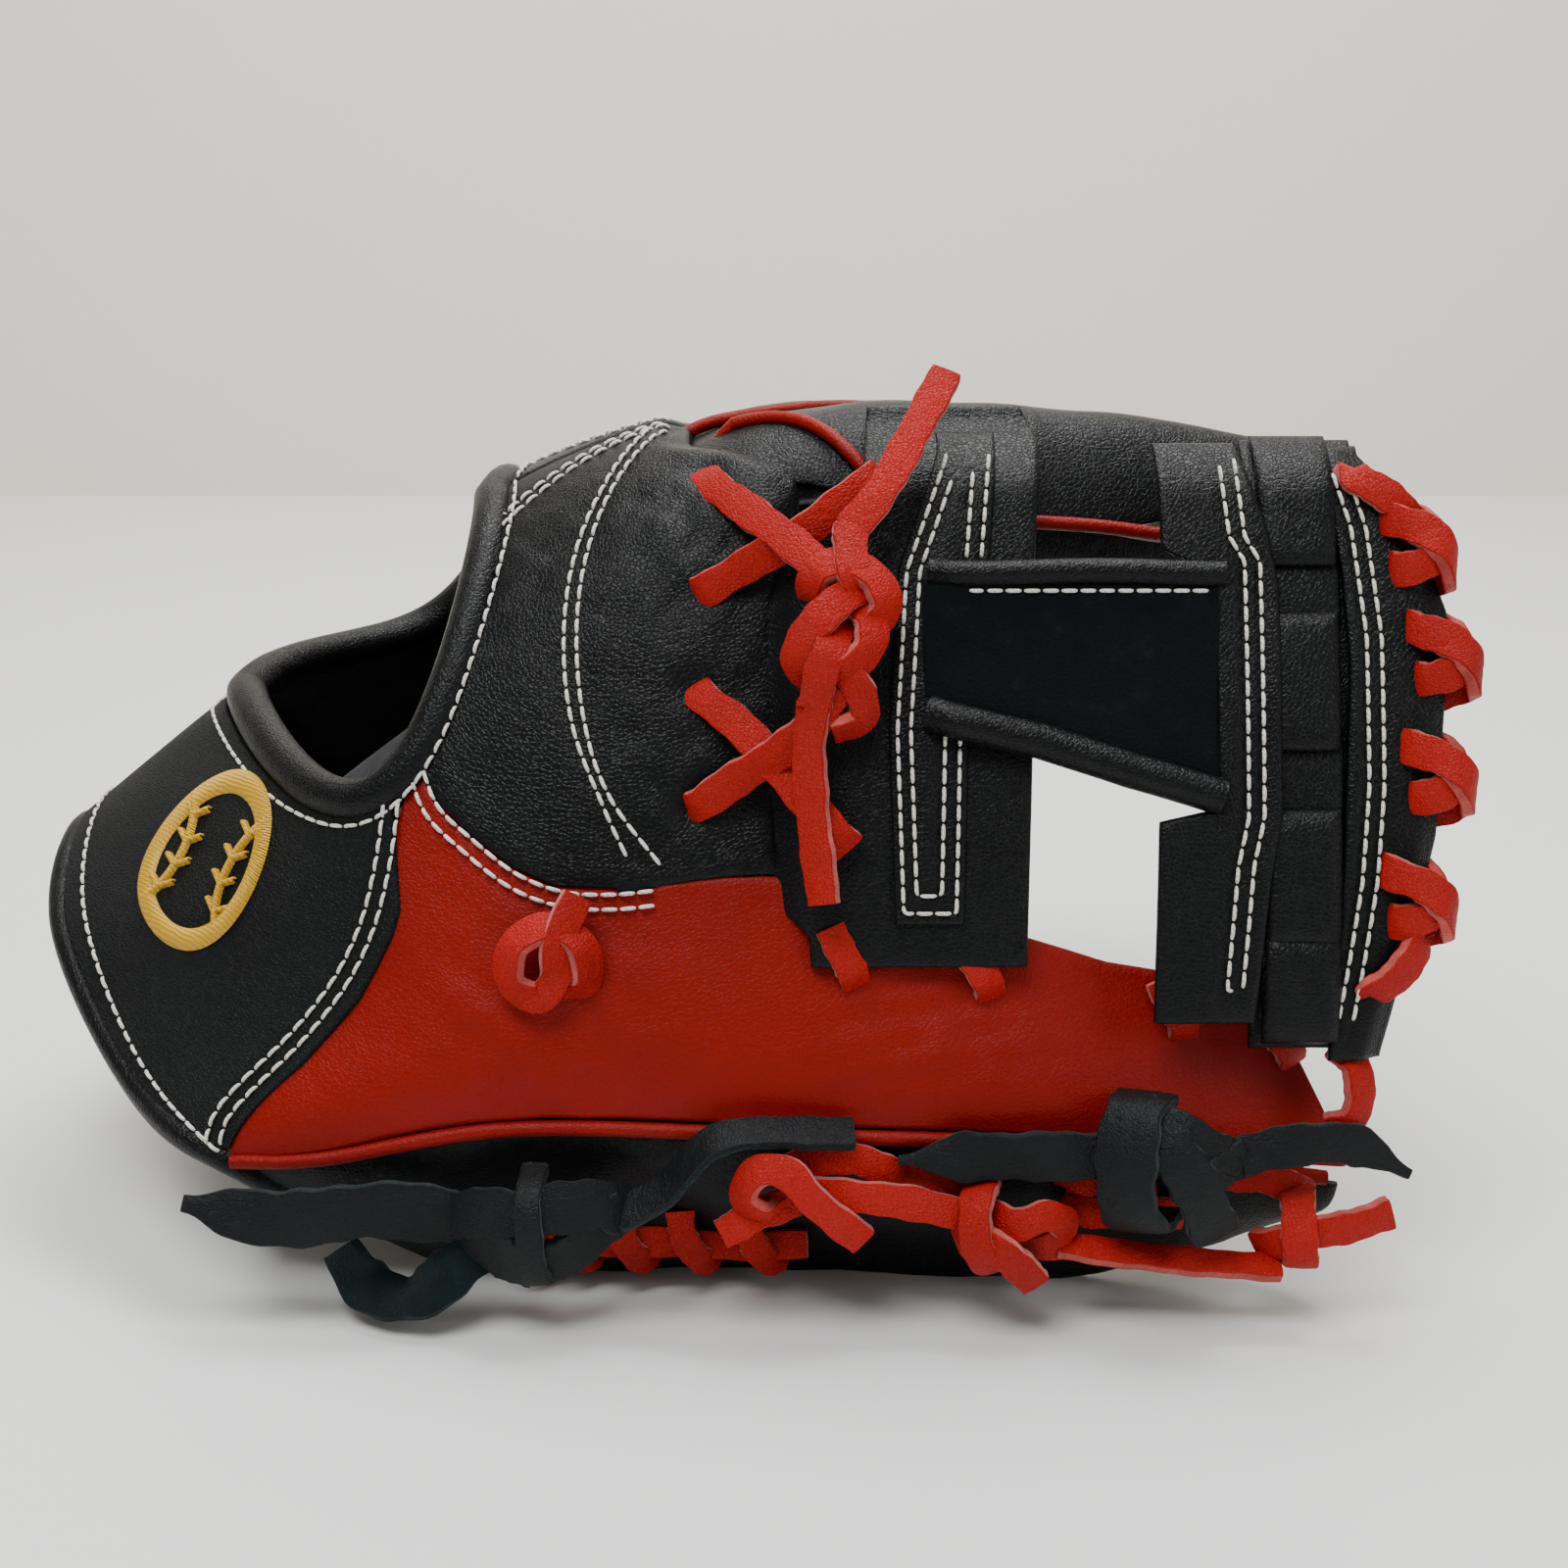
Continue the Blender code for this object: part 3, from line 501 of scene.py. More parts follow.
def flat_section(width, thick):
    """A cut lace: a crowned face, a flatter back, square edges. Goes round from the right foot."""
    half = [(1.0, 0.66), (0.955, 0.94), (0.7, 1.06), (0.0, 1.12)]
    back = [(1.0, -0.66), (0.95, -0.94), (0.6, -1.0), (0.0, -1.0)]
    outline = half + [(-x, y) for x, y in half[2::-1]] + [(-x, y) for x, y in back] + back[2::-1]
    return np.array(outline) * (width / 2, thick / 2)


def round_section(diameter, sides=14):
    angle = np.arange(sides) * math.tau / sides
    return np.stack([np.cos(angle), np.sin(angle)], -1) * diameter / 2


def ribbon(route, face, width, thick, step=1.5, tip=None, seed=0, curve=True):
    """Points, faces and the cut edges' faces of one lace. face is one direction or one for each stop."""
    dense = curve_through(route, LACE_CUTS * (len(route) - 1)) if curve else route
    path = even(dense, step)
    face = np.asarray(face, float)
    share = np.linspace(0, 1, len(path))
    if face.ndim == 2:
        given = np.linspace(0, 1, len(face))
        face = np.stack([np.interp(share, given, face[:, k]) for k in range(3)], -1)
    base = flat_section(width, thick)
    section = np.broadcast_to(base, (len(path),) + base.shape).copy()
    # A lace is a little wider and narrower along its way.
    section[..., 0] *= (1 + 0.05 * np.sin(share * 17 + seed) + 0.04 * np.sin(share * 41 + 2 * seed))[:, None]
    if tip:
        left = (1 - share) * step * len(path)
        section[..., 0] *= (tip + (1 - tip) * smooth(left / TIP_LENGTH))[:, None]
    points, faces, _ = swept(path, face, section)
    sides = (len(base) // 2 - 1, len(base) - 1)
    edges = [k for k in range(len(faces) - 2) if k % len(base) in sides]
    return points, faces, edges + [len(faces) - 2, len(faces) - 1]


def lace_runs(runs, where, face, width, thick, step=1.1, seed=0):
    """One lace for each run of stops given in the coordinates that where reads."""
    return [ribbon([where(*stop) for stop in run], face, width, thick, step, seed=seed + number)
            for number, run in enumerate(runs)]


def merge(parts):
    """Several (points, faces, cut edges) as one."""
    points = []
    faces = []
    edges = []
    start = 0
    for part, part_faces, part_edges in parts:
        points.append(part)
        edges += [k + len(faces) for k in part_edges]
        faces += [tuple(k + start for k in face) for face in part_faces]
        start += len(part)
    return np.concatenate(points), faces, edges


def laces(name, look, body, nodes, parts):
    """One object from several runs of the same lace, paler on its cut edges."""
    points, faces, edges = merge(parts)
    made = object_from(name, points, faces, look, body, nodes, look.split("_")[0] + "_edge", edges)
    made.data.set_sharp_from_angle(angle=LACE_EDGE)
    return made


def tube(name, look, body, nodes, path, diameter, face, closed=False, sides=14):
    """A rolled edge or a piping."""
    face = np.broadcast_to(np.asarray(face, float), path.shape)
    points, faces, _ = swept(path, face, round_section(diameter, sides), closed)
    return object_from(name, points, faces, look, body, nodes)


def stitching(name, lines):
    """Lock stitches: one short bowed thread after another along each line with its facings."""
    parts = []
    for points, facing in lines:
        tiny = 1e-6     # the facings go along without adding to the length
        fine = even(np.concatenate([points, facing * tiny], 1), 0.5)
        fine[:, 3:] /= np.linalg.norm(fine[:, 3:], axis=1, keepdims=True)
        run = np.concatenate([[0], np.cumsum(np.linalg.norm(np.diff(fine[:, :3], axis=0), axis=1))])
        count = int(run[-1] / STITCH_PITCH)
        spare = (run[-1] - count * STITCH_PITCH) / 2
        for k in range(count):
            start = spare + k * STITCH_PITCH + (STITCH_PITCH - STITCH) / 2
            here = np.stack([np.interp(start + STITCH * STITCH_AT, run, fine[:, c]) for c in range(6)], -1)
            path = here[:, :3] + here[:, 3:] * (STITCH_BOW * THREAD + STITCH_LIFT)[:, None]
            parts.append(swept(path, here[:, 3:], round_section(THREAD, 8) * STITCH_THIN[:, None, None]))
    points, faces, _ = merge(parts)
    return object_from(name, points, faces, "stitch", "hand")


def flat_foot(made):
    """No part of the leather that stands on the floor is below it."""
    for vert in made.data.vertices:
        vert.co.z = max(vert.co.z, 0.0)
    return made


def bend(made):
    """The piece's placement is baked into its mesh."""
    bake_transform(made)
    return made


# ---- camera and cords
def set_camera():
    data = bpy.data.cameras.new("camera")
    data.lens = 54.0
    data.sensor_width = 36.0
    data.clip_start = 0.01
    camera = bpy.data.objects.new("camera", data)
    camera.location = (MOVE[0] * MM, -0.5256, 0.242)
    camera.rotation_euler = (math.radians(73.7), 0.0, 0.0)
    bpy.context.scene.collection.objects.link(camera)
    bpy.context.scene.camera = camera


# Each free lace: look, body, width, diameter, how narrow its tip gets, its stops and its facings.
CORDS = {
    "crotch_tail_up": (
        "red_lace", "hand", 6.6, 5.4, None,
        [on_web(*stop) for stop in ((13, 159.5, 12), (19, 166, 12), (26, 177, 10), (33, 188, 7))],
        [(-0.35, -1, 0.1), (-0.2, -1, 0.1), (-0.3, -1, 0.1)]),
    "crotch_tail_down": (
        "red_lace", "hand", 6.6, 5.4, None,
        [on_web(*stop) for stop in ((6, 127.5, 10.5), (5, 118, 9.5), (6, 104, 8.5), (8, 89, 8.5))],
        [(-0.3, -1, 0), (-0.45, -1, 0), (-0.5, -1, 0)]),
    "thumb_bow_tail_left": (
        "black_lace", "thumb", 9.8, 7.4, 0.2,
        [(68.5, -18.5, 38), (56, -18.5, 38), (40, -18.5, 38), (23, -18, 37)],
        [(0, -1, 0.4), (0, -1, 0), (0, -1, 0.5)]),
    "thumb_bow_tail_right": (
        "black_lace", "thumb", 8.2, 5.9, 0.25,
        [(91.5, -18.5, 38), (101, -18, 40), (114, -17, 40), (126, -16, 33)],
        [(0, -1, 0.5), (0, -1, 0.1), (0, -1, 0.5)]),
    "welt_tail": (
        "red_lace", "thumb", 5.4, 5.0, None,
        [(55.5, -18.5, 18.5), (68, -18.5, 16.5), (85, -18.5, 14.5), (101, -18, 13)],
        [(0, -0.5, 1), (0, -0.7, 1), (0, -0.5, 1)]),
    "wrist_thong_tail_left": (
        "black_lace", "thumb", 11.4, 8.8, 0.3,
        [(-66.5, -19, 25), (-82, -20, 27), (-102, -20, 25), (-121, -19, 28)],
        [(0, -1, 0.3), (0, -1, 0.1), (0, -1, 0.5)]),
    "wrist_thong_tail_right": (
        "black_lace", "thumb", 7.0, 5.4, None,
        [(-33.5, -19, 25), (-24, -19.5, 31), (-12, -20.5, 43), (14, -18.5, 43)],
        [(-0.3, -0.8, 0.8), (-0.4, -0.6, 1), (0, -0.5, 1)]),
}
CORD_THICK = {"red_lace": 2.9, "black_lace": 2.5}


def add_cords():
    """The laces' free ends, each one cord from its knot to its cut end."""
    for number, (node, (look, body, width, diameter, tip, route, faces)) in enumerate(CORDS.items()):
        part = ribbon(route, faces, width, CORD_THICK[look], tip=tip, seed=number)
        made = laces(node + "_lace", look, body, node, [part])


# ---- outlines, as in the part
# Lines on the skin are (u, v) pairs: u runs from the wrist to the fingertips, v from the thumb's edge around.
# PATCH_EDGE and BACK_EDGE give u at each v instead.
PATCH_EDGE = [(1.13, 0.17), (1.3, 0.45), (1.63, 0.98), (1.9, 1.26), (2.15, 1.42), (2.4, 1.5), (2.7, 1.56)]
BACK_EDGE = [(2.06, 2.44), (2.12, 2.2), (2.23, 2.03), (2.39, 1.86), (2.55, 1.72), (2.7, 1.63), (2.8, 1.64)]
ARC_C = [(2.53, 3.86), (2.40, 3.46), (2.29, 3.12), (2.24, 2.80), (2.26, 2.54), (2.36, 2.29), (2.44, 2.13)]
ARC_D = [(2.60, 3.80), (2.46, 3.47), (2.35, 3.15), (2.29, 2.83), (2.30, 2.55), (2.38, 2.32), (2.57, 2.08)]
BACK_LOW = [(1.64, 2.74), (1.72, 2.55), (1.86, 2.39), (2.03, 2.23), (2.2, 2.13), (2.38, 2.08), (2.56, 2.06)]
RIDGE = [(1.93, 3.60), (2.08, 3.70), (2.24, 3.79), (2.4, 3.86), (2.6, 3.9)]
EDGE_OF_PATCH = [(0.2, 1.09), (0.36, 1.22), (0.52, 1.34), (0.98, 1.63), (1.26, 1.9), (1.42, 2.15), (1.5, 2.4),
                 (1.54, 2.66)]
SHELL_EDGE = [(0.03, 1.16), (0.5, 1.34), (0.98, 1.68), (1.26, 2.04), (1.36, 2.34), (1.44, 2.58), (1.5, 2.72),
              (1.58, 2.72), (1.67, 2.56), (1.8, 2.4), (1.97, 2.24), (2.14, 2.13), (2.42, 2.06), (2.98, 2.03),
              (3.3, 2.0), (4.1, 2.0), (4.5, 2.06), (4.94, 2.07)]
CROTCH_HOLES = [(-16.5, 165.5), (-17.5, 144), (-18, 125.5), (-18.5, 103.5)]     # x and z
AROUND = 8.0             # v and AROUND - v are the same place on the two sides of the hand
TOP = 4.0                # v of the ridge of the hand
HOLE_U = 0.62            # half the hand opening, along and around
HOLE_V = 1.22
HOLE_MARGIN = 0.07
HOLE_SIDE = 2.75         # v from which the back leather stops at the opening
BACK_REACH = 3.05        # u of the back leather's end at the web, and how much sooner it ends on top
BACK_SHORTER = 0.39
UNDER_ROLL = 0.045       # how far the leathers go on under a rolled edge
PALM_DEPTH = 38.0        # how far the pocket's leather lies inside the skin, its edges and the thumb's
EDGE_DEPTH = 7.0
THUMB_DEPTH = 31.0
PALM_END = 7.0           # v of the pocket's far edge
TIP_CUT = 0.62           # how much of the thumb's top corner its blunt tip takes


def mirrored(v):
    return np.minimum(v, AROUND - v)


def hole_middle(v):
    return 1.25 + 0.14 * np.abs(TOP - v)


def hole_half(v):
    part = 1.0 - ((v - TOP) / (HOLE_V + HOLE_MARGIN)) ** 2
    return (HOLE_U + HOLE_MARGIN) * np.sqrt(np.clip(part, 0.0, 1.0))


def patch_limit(v):
    """How far along the wrist patch reaches."""
    return np.minimum(line(PATCH_EDGE, mirrored(v)) + UNDER_ROLL, hole_middle(v) - hole_half(v))


def back_limit(v):
    """Where the back leather starts."""
    edge = line(BACK_EDGE, mirrored(v)) - UNDER_ROLL
    return np.where(mirrored(v) < HOLE_SIDE, edge, np.maximum(edge, hole_middle(v) + hole_half(v)))


def back_end(v):
    """How far along the back leather reaches: to the web at its side, to the knuckles on top."""
    return BACK_REACH - BACK_SHORTER * smooth((mirrored(v) - 2.92) / 0.72)


def back_height(u, v):
    """How far the back leather stands off the skin: padded over the knuckles, turned in at the web."""
    puff = np.exp(-((u - 2.5) / 0.4) ** 2) * smooth((mirrored(v) - 2.1) / 0.3)
    return 0.9 + 1.1 * puff - 3.2 * smooth((u - back_end(v) + 0.12) / 0.14)


def palm_depth(v):
    return EDGE_DEPTH + (PALM_DEPTH - EDGE_DEPTH) * smooth(np.minimum(v, PALM_END - v) / 1.7)


def thumb_depth(u, v):
    belly = np.sin(math.pi * np.clip(v, 0.0, 2.0) / 2.0)
    return EDGE_DEPTH + (THUMB_DEPTH - EDGE_DEPTH) * belly * (1 - rounding(u, 3.6, 1.42))


def tip_drop(u):
    """The blunt top corner of the thumb's tip."""
    return TIP_CUT * rounding(u, 4.58, 0.38)


def seam(pairs, w=0.0, aside=0.0, far=False):
    """A line on the skin through (u, v) pairs, moved aside: its points and their normals."""
    u, v = curve_through(pairs, 90).T
    v = AROUND - v if far else v
    points = on_skin(u, v, w(u, v) if callable(w) else w)
    normals = skin_normal(u, v)
    side = np.cross(normals, np.gradient(points, axis=0))
    side /= np.linalg.norm(side, axis=1, keepdims=True)
    return points + side * aside * (-1 if far else 1), normals


def grooves(rows, far=False):
    """Lines where stitching pulls the leather in, from (line, how far aside) rows."""
    return [seam(pairs, 0, aside, far)[0] for pairs, aside in rows]


# ---- the shell
BACK_GROOVES = [(BACK_LOW, -1.3), (BACK_LOW, -4.4), (ARC_C, 0), (ARC_D, 0)]
RIDGE_GROOVES = [(RIDGE, 1.4), (RIDGE, -1.4)]
PATCH_GROOVES = [(EDGE_OF_PATCH, 2.6), (EDGE_OF_PATCH, 5.8)]
SEWN = [(EDGE_OF_PATCH, 1.3, 2.6), (EDGE_OF_PATCH, 1.3, 5.8), (BACK_LOW, back_height, -2.4),
        (BACK_LOW, back_height, -5.4), (ARC_C, back_height, 0), (ARC_D, back_height, 0),
        (RIDGE, back_height, 1.5), (RIDGE, back_height, -1.5)]


def build_back():
    """The two black leathers over the back of the hand, one on each side of the ridge."""
    def back_area(v0, v1):
        def area(s, t):
            v = v0 + (v1 - v0) * t
            start = back_limit(v)
            u = start + (back_end(v) - start) * s
            return u, v, back_height(u, v)
        return area

    creases = [((-8, 20, 155), 26, 0.9, 8.0, 11), ((-10, 15, 110), 22, 0.8, 7.0, 12),
               ((-50, 40, 140), 20, 0.5, 9.0, 13)]
    panel("back_leather_near", "black", "hand", "back_leather_thumb_side", back_area(2.035, 3.985),
          seams=grooves(BACK_GROOVES + RIDGE_GROOVES), wrinkles=creases, thick=3.2, seed=2,
          holes=[near(x, z, 0.0) for x, z in CROTCH_HOLES])
    panel("back_leather_far", "black", "hand", "back_leather_little_side", back_area(4.015, 5.965),
          seams=grooves(BACK_GROOVES, True), wrinkles=[((-20, 140, 130), 30, 0.5, 17.0, 15)], thick=3.2,
          seed=3)


def shell_side(name, nodes, tip, fold):
    """The red leather from the wrist patch to the thumb's tip, or to the little finger on the far side."""
    far = fold != "thumb"
    squeeze = 0.9       # v counts for less than u along the edge
    edge = even(np.array([(u, v * squeeze) for u, v in SHELL_EDGE if u <= tip]), 0.02)
    reach = np.linspace(0, 1, len(edge))

    def area(s, t):
        u = np.interp(s, reach, edge[:, 0])
        top = np.interp(s, reach, edge[:, 1]) / squeeze - tip_drop(u)
        low = 1.045 + 0.2325 * rounding(u, 4.35, 0.6)
        v = low + (top - low) * t
        return u, AROUND - v if far else v, 0.0

    bend(panel(name, "red", None, nodes, area, uneven=0.35, seed=4,
               wrinkles=[((30, -14, 66), 22, 0.7, 9.0, 5), ((-48, -6, 60), 26, 0.5, 12.0, 8)]))


def build_wrist_patch():
    def area(s, t):
        v = 1.13 + 5.61 * t
        return patch_limit(v) * s, v, 1.3

    panel("wrist_patch_leather", "strap", "hand", "wrist_patch", area, thick=3.2, sides=(0, 1, 1, 1),
          seams=grooves(PATCH_GROOVES) + grooves(PATCH_GROOVES, True), uneven=0.3, seed=6)


def build_underside():
    """The black leather under the heel and the thumb, and the welt between it and the red one."""
    def area(s, t):
        u = 0.03 + 4.89 * s
        narrow = rounding(u, 4.35, 0.62)
        low = 0.02 + 0.62 * narrow
        v = low + (0.975 - 0.1 * narrow - low) * t
        return u, v, np.sin(math.pi * t) * (1.2 + 1.8 * np.exp(-((u - 1.6) / 0.5) ** 2)) - 0.4

    made = panel("underside_leather", "black", None, "heel_underside thumb_underside", area, uneven=0.7,
                 seed=7, wrinkles=[((-10, -10, 20), 60, 0.9, 14.0, 21), ((60, -8, 20), 40, 0.7, 11.0, 22)])
    bend(flat_foot(made))

    u = np.linspace(0.04, 4.86, 165)
    path = on_skin(u, 1.005 + 0.025 * rounding(u, 4.4, 0.6), 0.35)
    made = tube("thumb_welt_piping", "red", None, "thumb_welt", path, PIPING, skin_normal(u, 1.0 + 0 * u))
    bend(made)


def build_palm():
    """The pocket's leather with its felt and lining, the thumb's front, and the padding inside."""
    def inside(u0, u1, v0, v1, lift):
        def area(s, t):
            v = v0 + (v1 - v0) * t
            return u0 + (u1 - u0) * s, v, -palm_depth(v) + lift
        return area

    for name, v0, v1, fold in (("near", 0.1, 3.52, "thumb"), ("far", 3.48, 6.92, "far_palm")):
        made = panel("palm_leather_" + name, "black", None, "palm_leather",
                     inside(0.12, 3.08, v0, v1, LEATHER), step=2.6, uneven=0.6)
        bend(flat_foot(made))
    made = panel("palm_felt_pad", "felt", None, "palm_felt", inside(0.9, 2.7, 2.3, 5.7, LEATHER + 3.5),
                 step=3.0, thick=3.0, uneven=0.3)
    bend(made)
    made = panel("palm_lining_leather", "fleece", None, "palm_lining",
                 inside(0.3, 3.0, 1.6, 6.4, LEATHER + 5.6), step=3.0, thick=1.6, uneven=0.3)
    bend(made)

    def front_area(s, t):
        u = 0.9 + 3.94 * s
        low = 0.12 + 0.75 * rounding(u, 4.3, 0.62)
        v = low + (1.93 + 0.09 * smooth((u - 4.1) / 0.45) - tip_drop(u) - low) * t
        return u, v, -thumb_depth(u, v) + LEATHER

    made = panel("thumb_front_leather", "black", None, "thumb_front", front_area, step=2.6, uneven=0.5)
    bend(flat_foot(made))

    def pad_area(s, t):
        return 0.56 + 1.64 * s, 6.0 + 0.35 * t, -4.0

    made = panel("little_heel_stuffing", "felt", None, "little_heel_pad", pad_area, step=3.0, thick=7.0)
    bend(made)

    def collar_area(s, t):
        return 0.02 + 0.5 * s, 1.5 + 5.0 * t, -2.4

    panel("wrist_lining_fleece", "fleece", "hand", "wrist_lining", collar_area, step=2.5, thick=2.6,
          uneven=0.5)


def opening_line(margin, count):
    """u and v once around the hand opening, a margin outside it."""
    angle = np.arange(count) * math.tau / count
    v = TOP + (HOLE_V + margin) * np.sin(angle)
    return hole_middle(v) + (HOLE_U + margin) * np.cos(angle), v


def build_bindings():
    """The rolled edges of the wrist and of the hand opening."""
    v = np.linspace(0.28, 6.72, 150)
    tube("wrist_binding_roll", "black", "hand", "wrist_binding", on_skin(-0.05, v, -1.6), BINDING,
         skin_normal(-0.05 + 0 * v, v))
    u, v = opening_line(0.0, 120)
    tube("hand_opening_roll", "black", "hand", "hand_opening_binding", on_skin(u, v, -0.6), OPENING_ROLL,
         skin_normal(u, v), True, 18)


def build_seams():
    """All the white thread of the shell."""
    lines = [seam(*one, far) for far in (False, True) for one in SEWN]
    u, v = opening_line(0.115, 240)
    u, v = np.append(u, u[0]), np.append(v, v[0])
    lines.append((on_skin(u, v, 1.4), skin_normal(u, v)))
    v = np.linspace(0.62, 6.64, 220)
    u = 0.075 + 0 * v
    lines.append((on_skin(u, v, 0.2 + 1.2 * smooth((v - 1.05) / 0.12)), skin_normal(u, v)))
    stitching("shell_stitching", lines)


# ---- fingers
# Where each finger's stall starts and ends along the hand.
FINGERS = {"index": (2.46, 4.74), "middle": (2.5, 4.99), "ring": (2.5, 4.99), "little": (2.84, 4.97)}
FINGER_HALF = 0.485      # half a finger's width in v
FINGER_TIP = 0.39        # u over which a stall closes at its tip, and over which it gets narrower
FINGER_TAPER = 0.8
INDEX_SINK = 2.4         # mm that the index finger sinks for each u past INDEX_BENDS
INDEX_BENDS = 3.2
WELT_TURN = 0.49         # u where the piping starts around the tip, from the stall's end, and how far it goes
WELT_REACH = 0.46


def finger_taper(u, end):
    near_tip = np.clip(u - end + FINGER_TAPER, 0, None) / FINGER_TAPER
    return np.sqrt(np.clip(1.0 - near_tip ** 2.4, 0.0, 1.0))


def index_drop(u, web_side):
    """The index finger's web side hangs lower than the others, behind the web."""
    return 0.22 * smooth((u - 2.9) / 0.6) * (1 - smooth((u - 4.25) / 0.45)) * web_side


def finger_stall(number, name, middle, body):
    """A padded tube of black leather with a rounded tip."""
    start, end = FINGERS[name]
    index = name == "index"
    share = np.cos(np.linspace(math.pi, 0, 26))
    bulge = np.sqrt(np.clip(1 - share ** 2, 0, 1))
    stations = np.concatenate([np.linspace(start, end - FINGER_TIP, 52),
                               end - FINGER_TIP * (1 - np.linspace(0, 1, 22)[1:]) ** 2])
    hoops = []
    for u in stations:
        size = float(finger_taper(u, end)) + 1e-3
        root = float(smooth((u - start) / 0.42))
        v = middle + FINGER_HALF * share * size
        sink = 0.0
        if index:
            v = v - index_drop(u, np.clip(-share, 0, 1) ** 1.5)
            sink = INDEX_SINK * max(u - INDEX_BENDS, 0.0)
        knuckle = 1 + 0.12 * math.sin((u - 3.0) * 5.0 + number)
        rise = (1.4 if index else 3.6) * bulge * knuckle - 2.0 * (1 - size)
        back = on_skin(u, v, rise * root - 2.4 * (1 - root) - 2.2 - sink)
        front = on_skin(u, v[::-1], -4.6 - 15.5 * bulge[::-1] ** 0.8 * size * (0.6 + 0.4 * root))
        hoops.append(np.concatenate([back, front]))
    hoops = np.array(hoops)
    hoops = hoops + (0.35 * noise(hoops, 22.0, 30 + number))[..., None] * np.array((0.0, 0.3, 1.0))
    made = object_from(name + "_stall", hoops, hoop_faces(*hoops.shape[:2]), "black", body,
                       name + "_back " + name + "_front", turn=True)


def finger_welt(name, middle, body):
    """The piping sewn around the stall: out along one side, around the tip and back."""
    start, end = FINGERS[name]
    index = name == "index"
    turn = np.linspace(0, math.pi, 40)[1:-1]
    straight = np.linspace(start, end - WELT_TURN, 40)
    u = np.concatenate([straight, end - WELT_TURN + WELT_REACH * np.sin(turn), straight[::-1]])
    lean = np.concatenate([-np.ones(40), -np.cos(turn), np.ones(40)])
    v = middle + FINGER_HALF * lean
    height = -4.0 - 3.0 * (1 - smooth((u - start) / 0.3))
    if index:
        web_side = np.clip(-lean, 0, 1) ** 1.5
        climb = 1 - smooth((u - 2.75) / 0.7)
        v = v + 0.6 * climb * web_side - index_drop(u, web_side)
        height = height - INDEX_SINK * np.clip(u - INDEX_BENDS, 0, None) + 3.0
        edge = web_side * (1 - smooth((u - 3.25) / 0.4))
        height = height * (1 - edge) + edge * (-0.1 - 5.0 * (1 - smooth((u - 2.7) / 0.14)))
    colour = "red" if index else "black"
    tube(name + "_welt_piping", colour, body, name + "_welt", on_skin(u, v, height), FINGER_PIPING,
         skin_normal(u, v))


def build_fingers():
    for number, name in enumerate(FINGERS):
        body = "little_finger" if name == "little" else "hand"
        finger_stall(number, name, 3.5 + number, body)
        finger_welt(name, 3.5 + number, body)


# ---- web
# Edges of the web's leathers give x at each z; rows of stitches are (x, z) pairs.
PANEL_LEFT = [(72, 5.5), (80, 5.0), (86, -6), (142, -6), (158, 5), (167, 16), (180, 17.5)]
PANEL_RIGHT = [(72, 49), (153, 51), (174, 52.5), (179.5, 49.5)]
STRIP_LEFT = [(84, 22.3), (120, 21.0), (150, 23), (172, 31.5)]
STRIP_RIGHT = [(84, 36.2), (120, 37), (150, 41.3), (172, 43.4)]
BAND_LEFT = [(56, 109.6), (100, 112.2), (133, 113.6), (150, 112.6), (164, 110), (171, 107)]
BAND_RIGHT = [(56, 120.5), (99, 131), (128, 133.5), (142, 134), (158, 128), (168, 121), (171, 118)]
RIGHT_LEFT = [(63, 74), (103, 74.8), (105.5, 86.5), (151, 86.5), (154, 76), (174, 75.5)]
RIGHT_RIGHT = [(63, 94), (91, 97), (104, 99.4), (147, 99.4), (158, 97.6), (174, 92)]
STRIP_ROW = [(87.8, 172), (89.5, 157), (92.4, 152.4), (92.4, 104.4), (90.3, 95), (88.3, 71)]
BAND_ROW = [(111, 169.5), (114.5, 158.4), (116.9, 137.9), (116.9, 109.9), (115.5, 91.3), (112.6, 72.7),
            (110.9, 63)]
BAR_LOW = [(27, 126.5), (38, 124.5), (51, 121.5), (69, 115.5), (88, 110.5)]     # z at each x
BAR_TOP = 148.5
BAR_ENDS = (27.8, 88.5)  # x of the crossbar's two ends
WEAVE_SIDES = (95.0, 113.0)      # x where the woven strap comes down on the core
# The woven strap's visible lengths: from z, to z, and whether each lies over the core or goes under.
WEAVE = [(60, 79.8, 1), (79.8, 104, 1), (104, 117, 0), (117, 141.2, 1), (141.2, 151.8, 0), (151.8, 173.5, 1)]


def between(left, right, low, high, w):
    """An area of the web from x = left(z) to right(z). Its top rolls back."""
    def area(s, t):
        z = low + (high - low) * t
        a, b = (line(edge, z) if isinstance(edge, list) else edge for edge in (left, right))
        x = a + (b - a) * s
        height = w(x, z) if callable(w) else w
        return x, z, height - WEB_ROLL * np.clip((z - WEB_ROLL_AT) / WEB_ROLL_REACH, 0, 1.3) ** 2
    return area


def web_panel(name, node, area, look="black", **settings):
    panel(name, look, "hand", node, area, where=on_web, **settings)


def along_edge(edge, aside, start, end):
    """(x, z) points of an edge moved aside, from one z to another."""
    return [(float(line(edge, z)) + aside, z) for z in np.linspace(start, end, 40)]


def web_seam(pairs, w):
    """A line on the web through (x, z) pairs: its points and the way they face."""
    x, z = even(pairs, 1.0).T
    points = on_web(x, z, w)
    return points, np.broadcast_to(np.array([0.0, -0.98, 0.15]), points.shape)


def web_grooves(rows, w):
    return [web_seam(one, w)[0] for one in rows]


def web_roll(name, node, first, last, height, diameter, sides):
    """A rolled edge of the crossbar. height(x) gives its z."""
    x = np.linspace(first, last, 60)
    path = on_web(x, height(x), 1.6 + 2.4 * smooth((x - 28) / 8))
    tube(name, "black", "hand", node, path, diameter, (0, -1, 0), sides=sides)


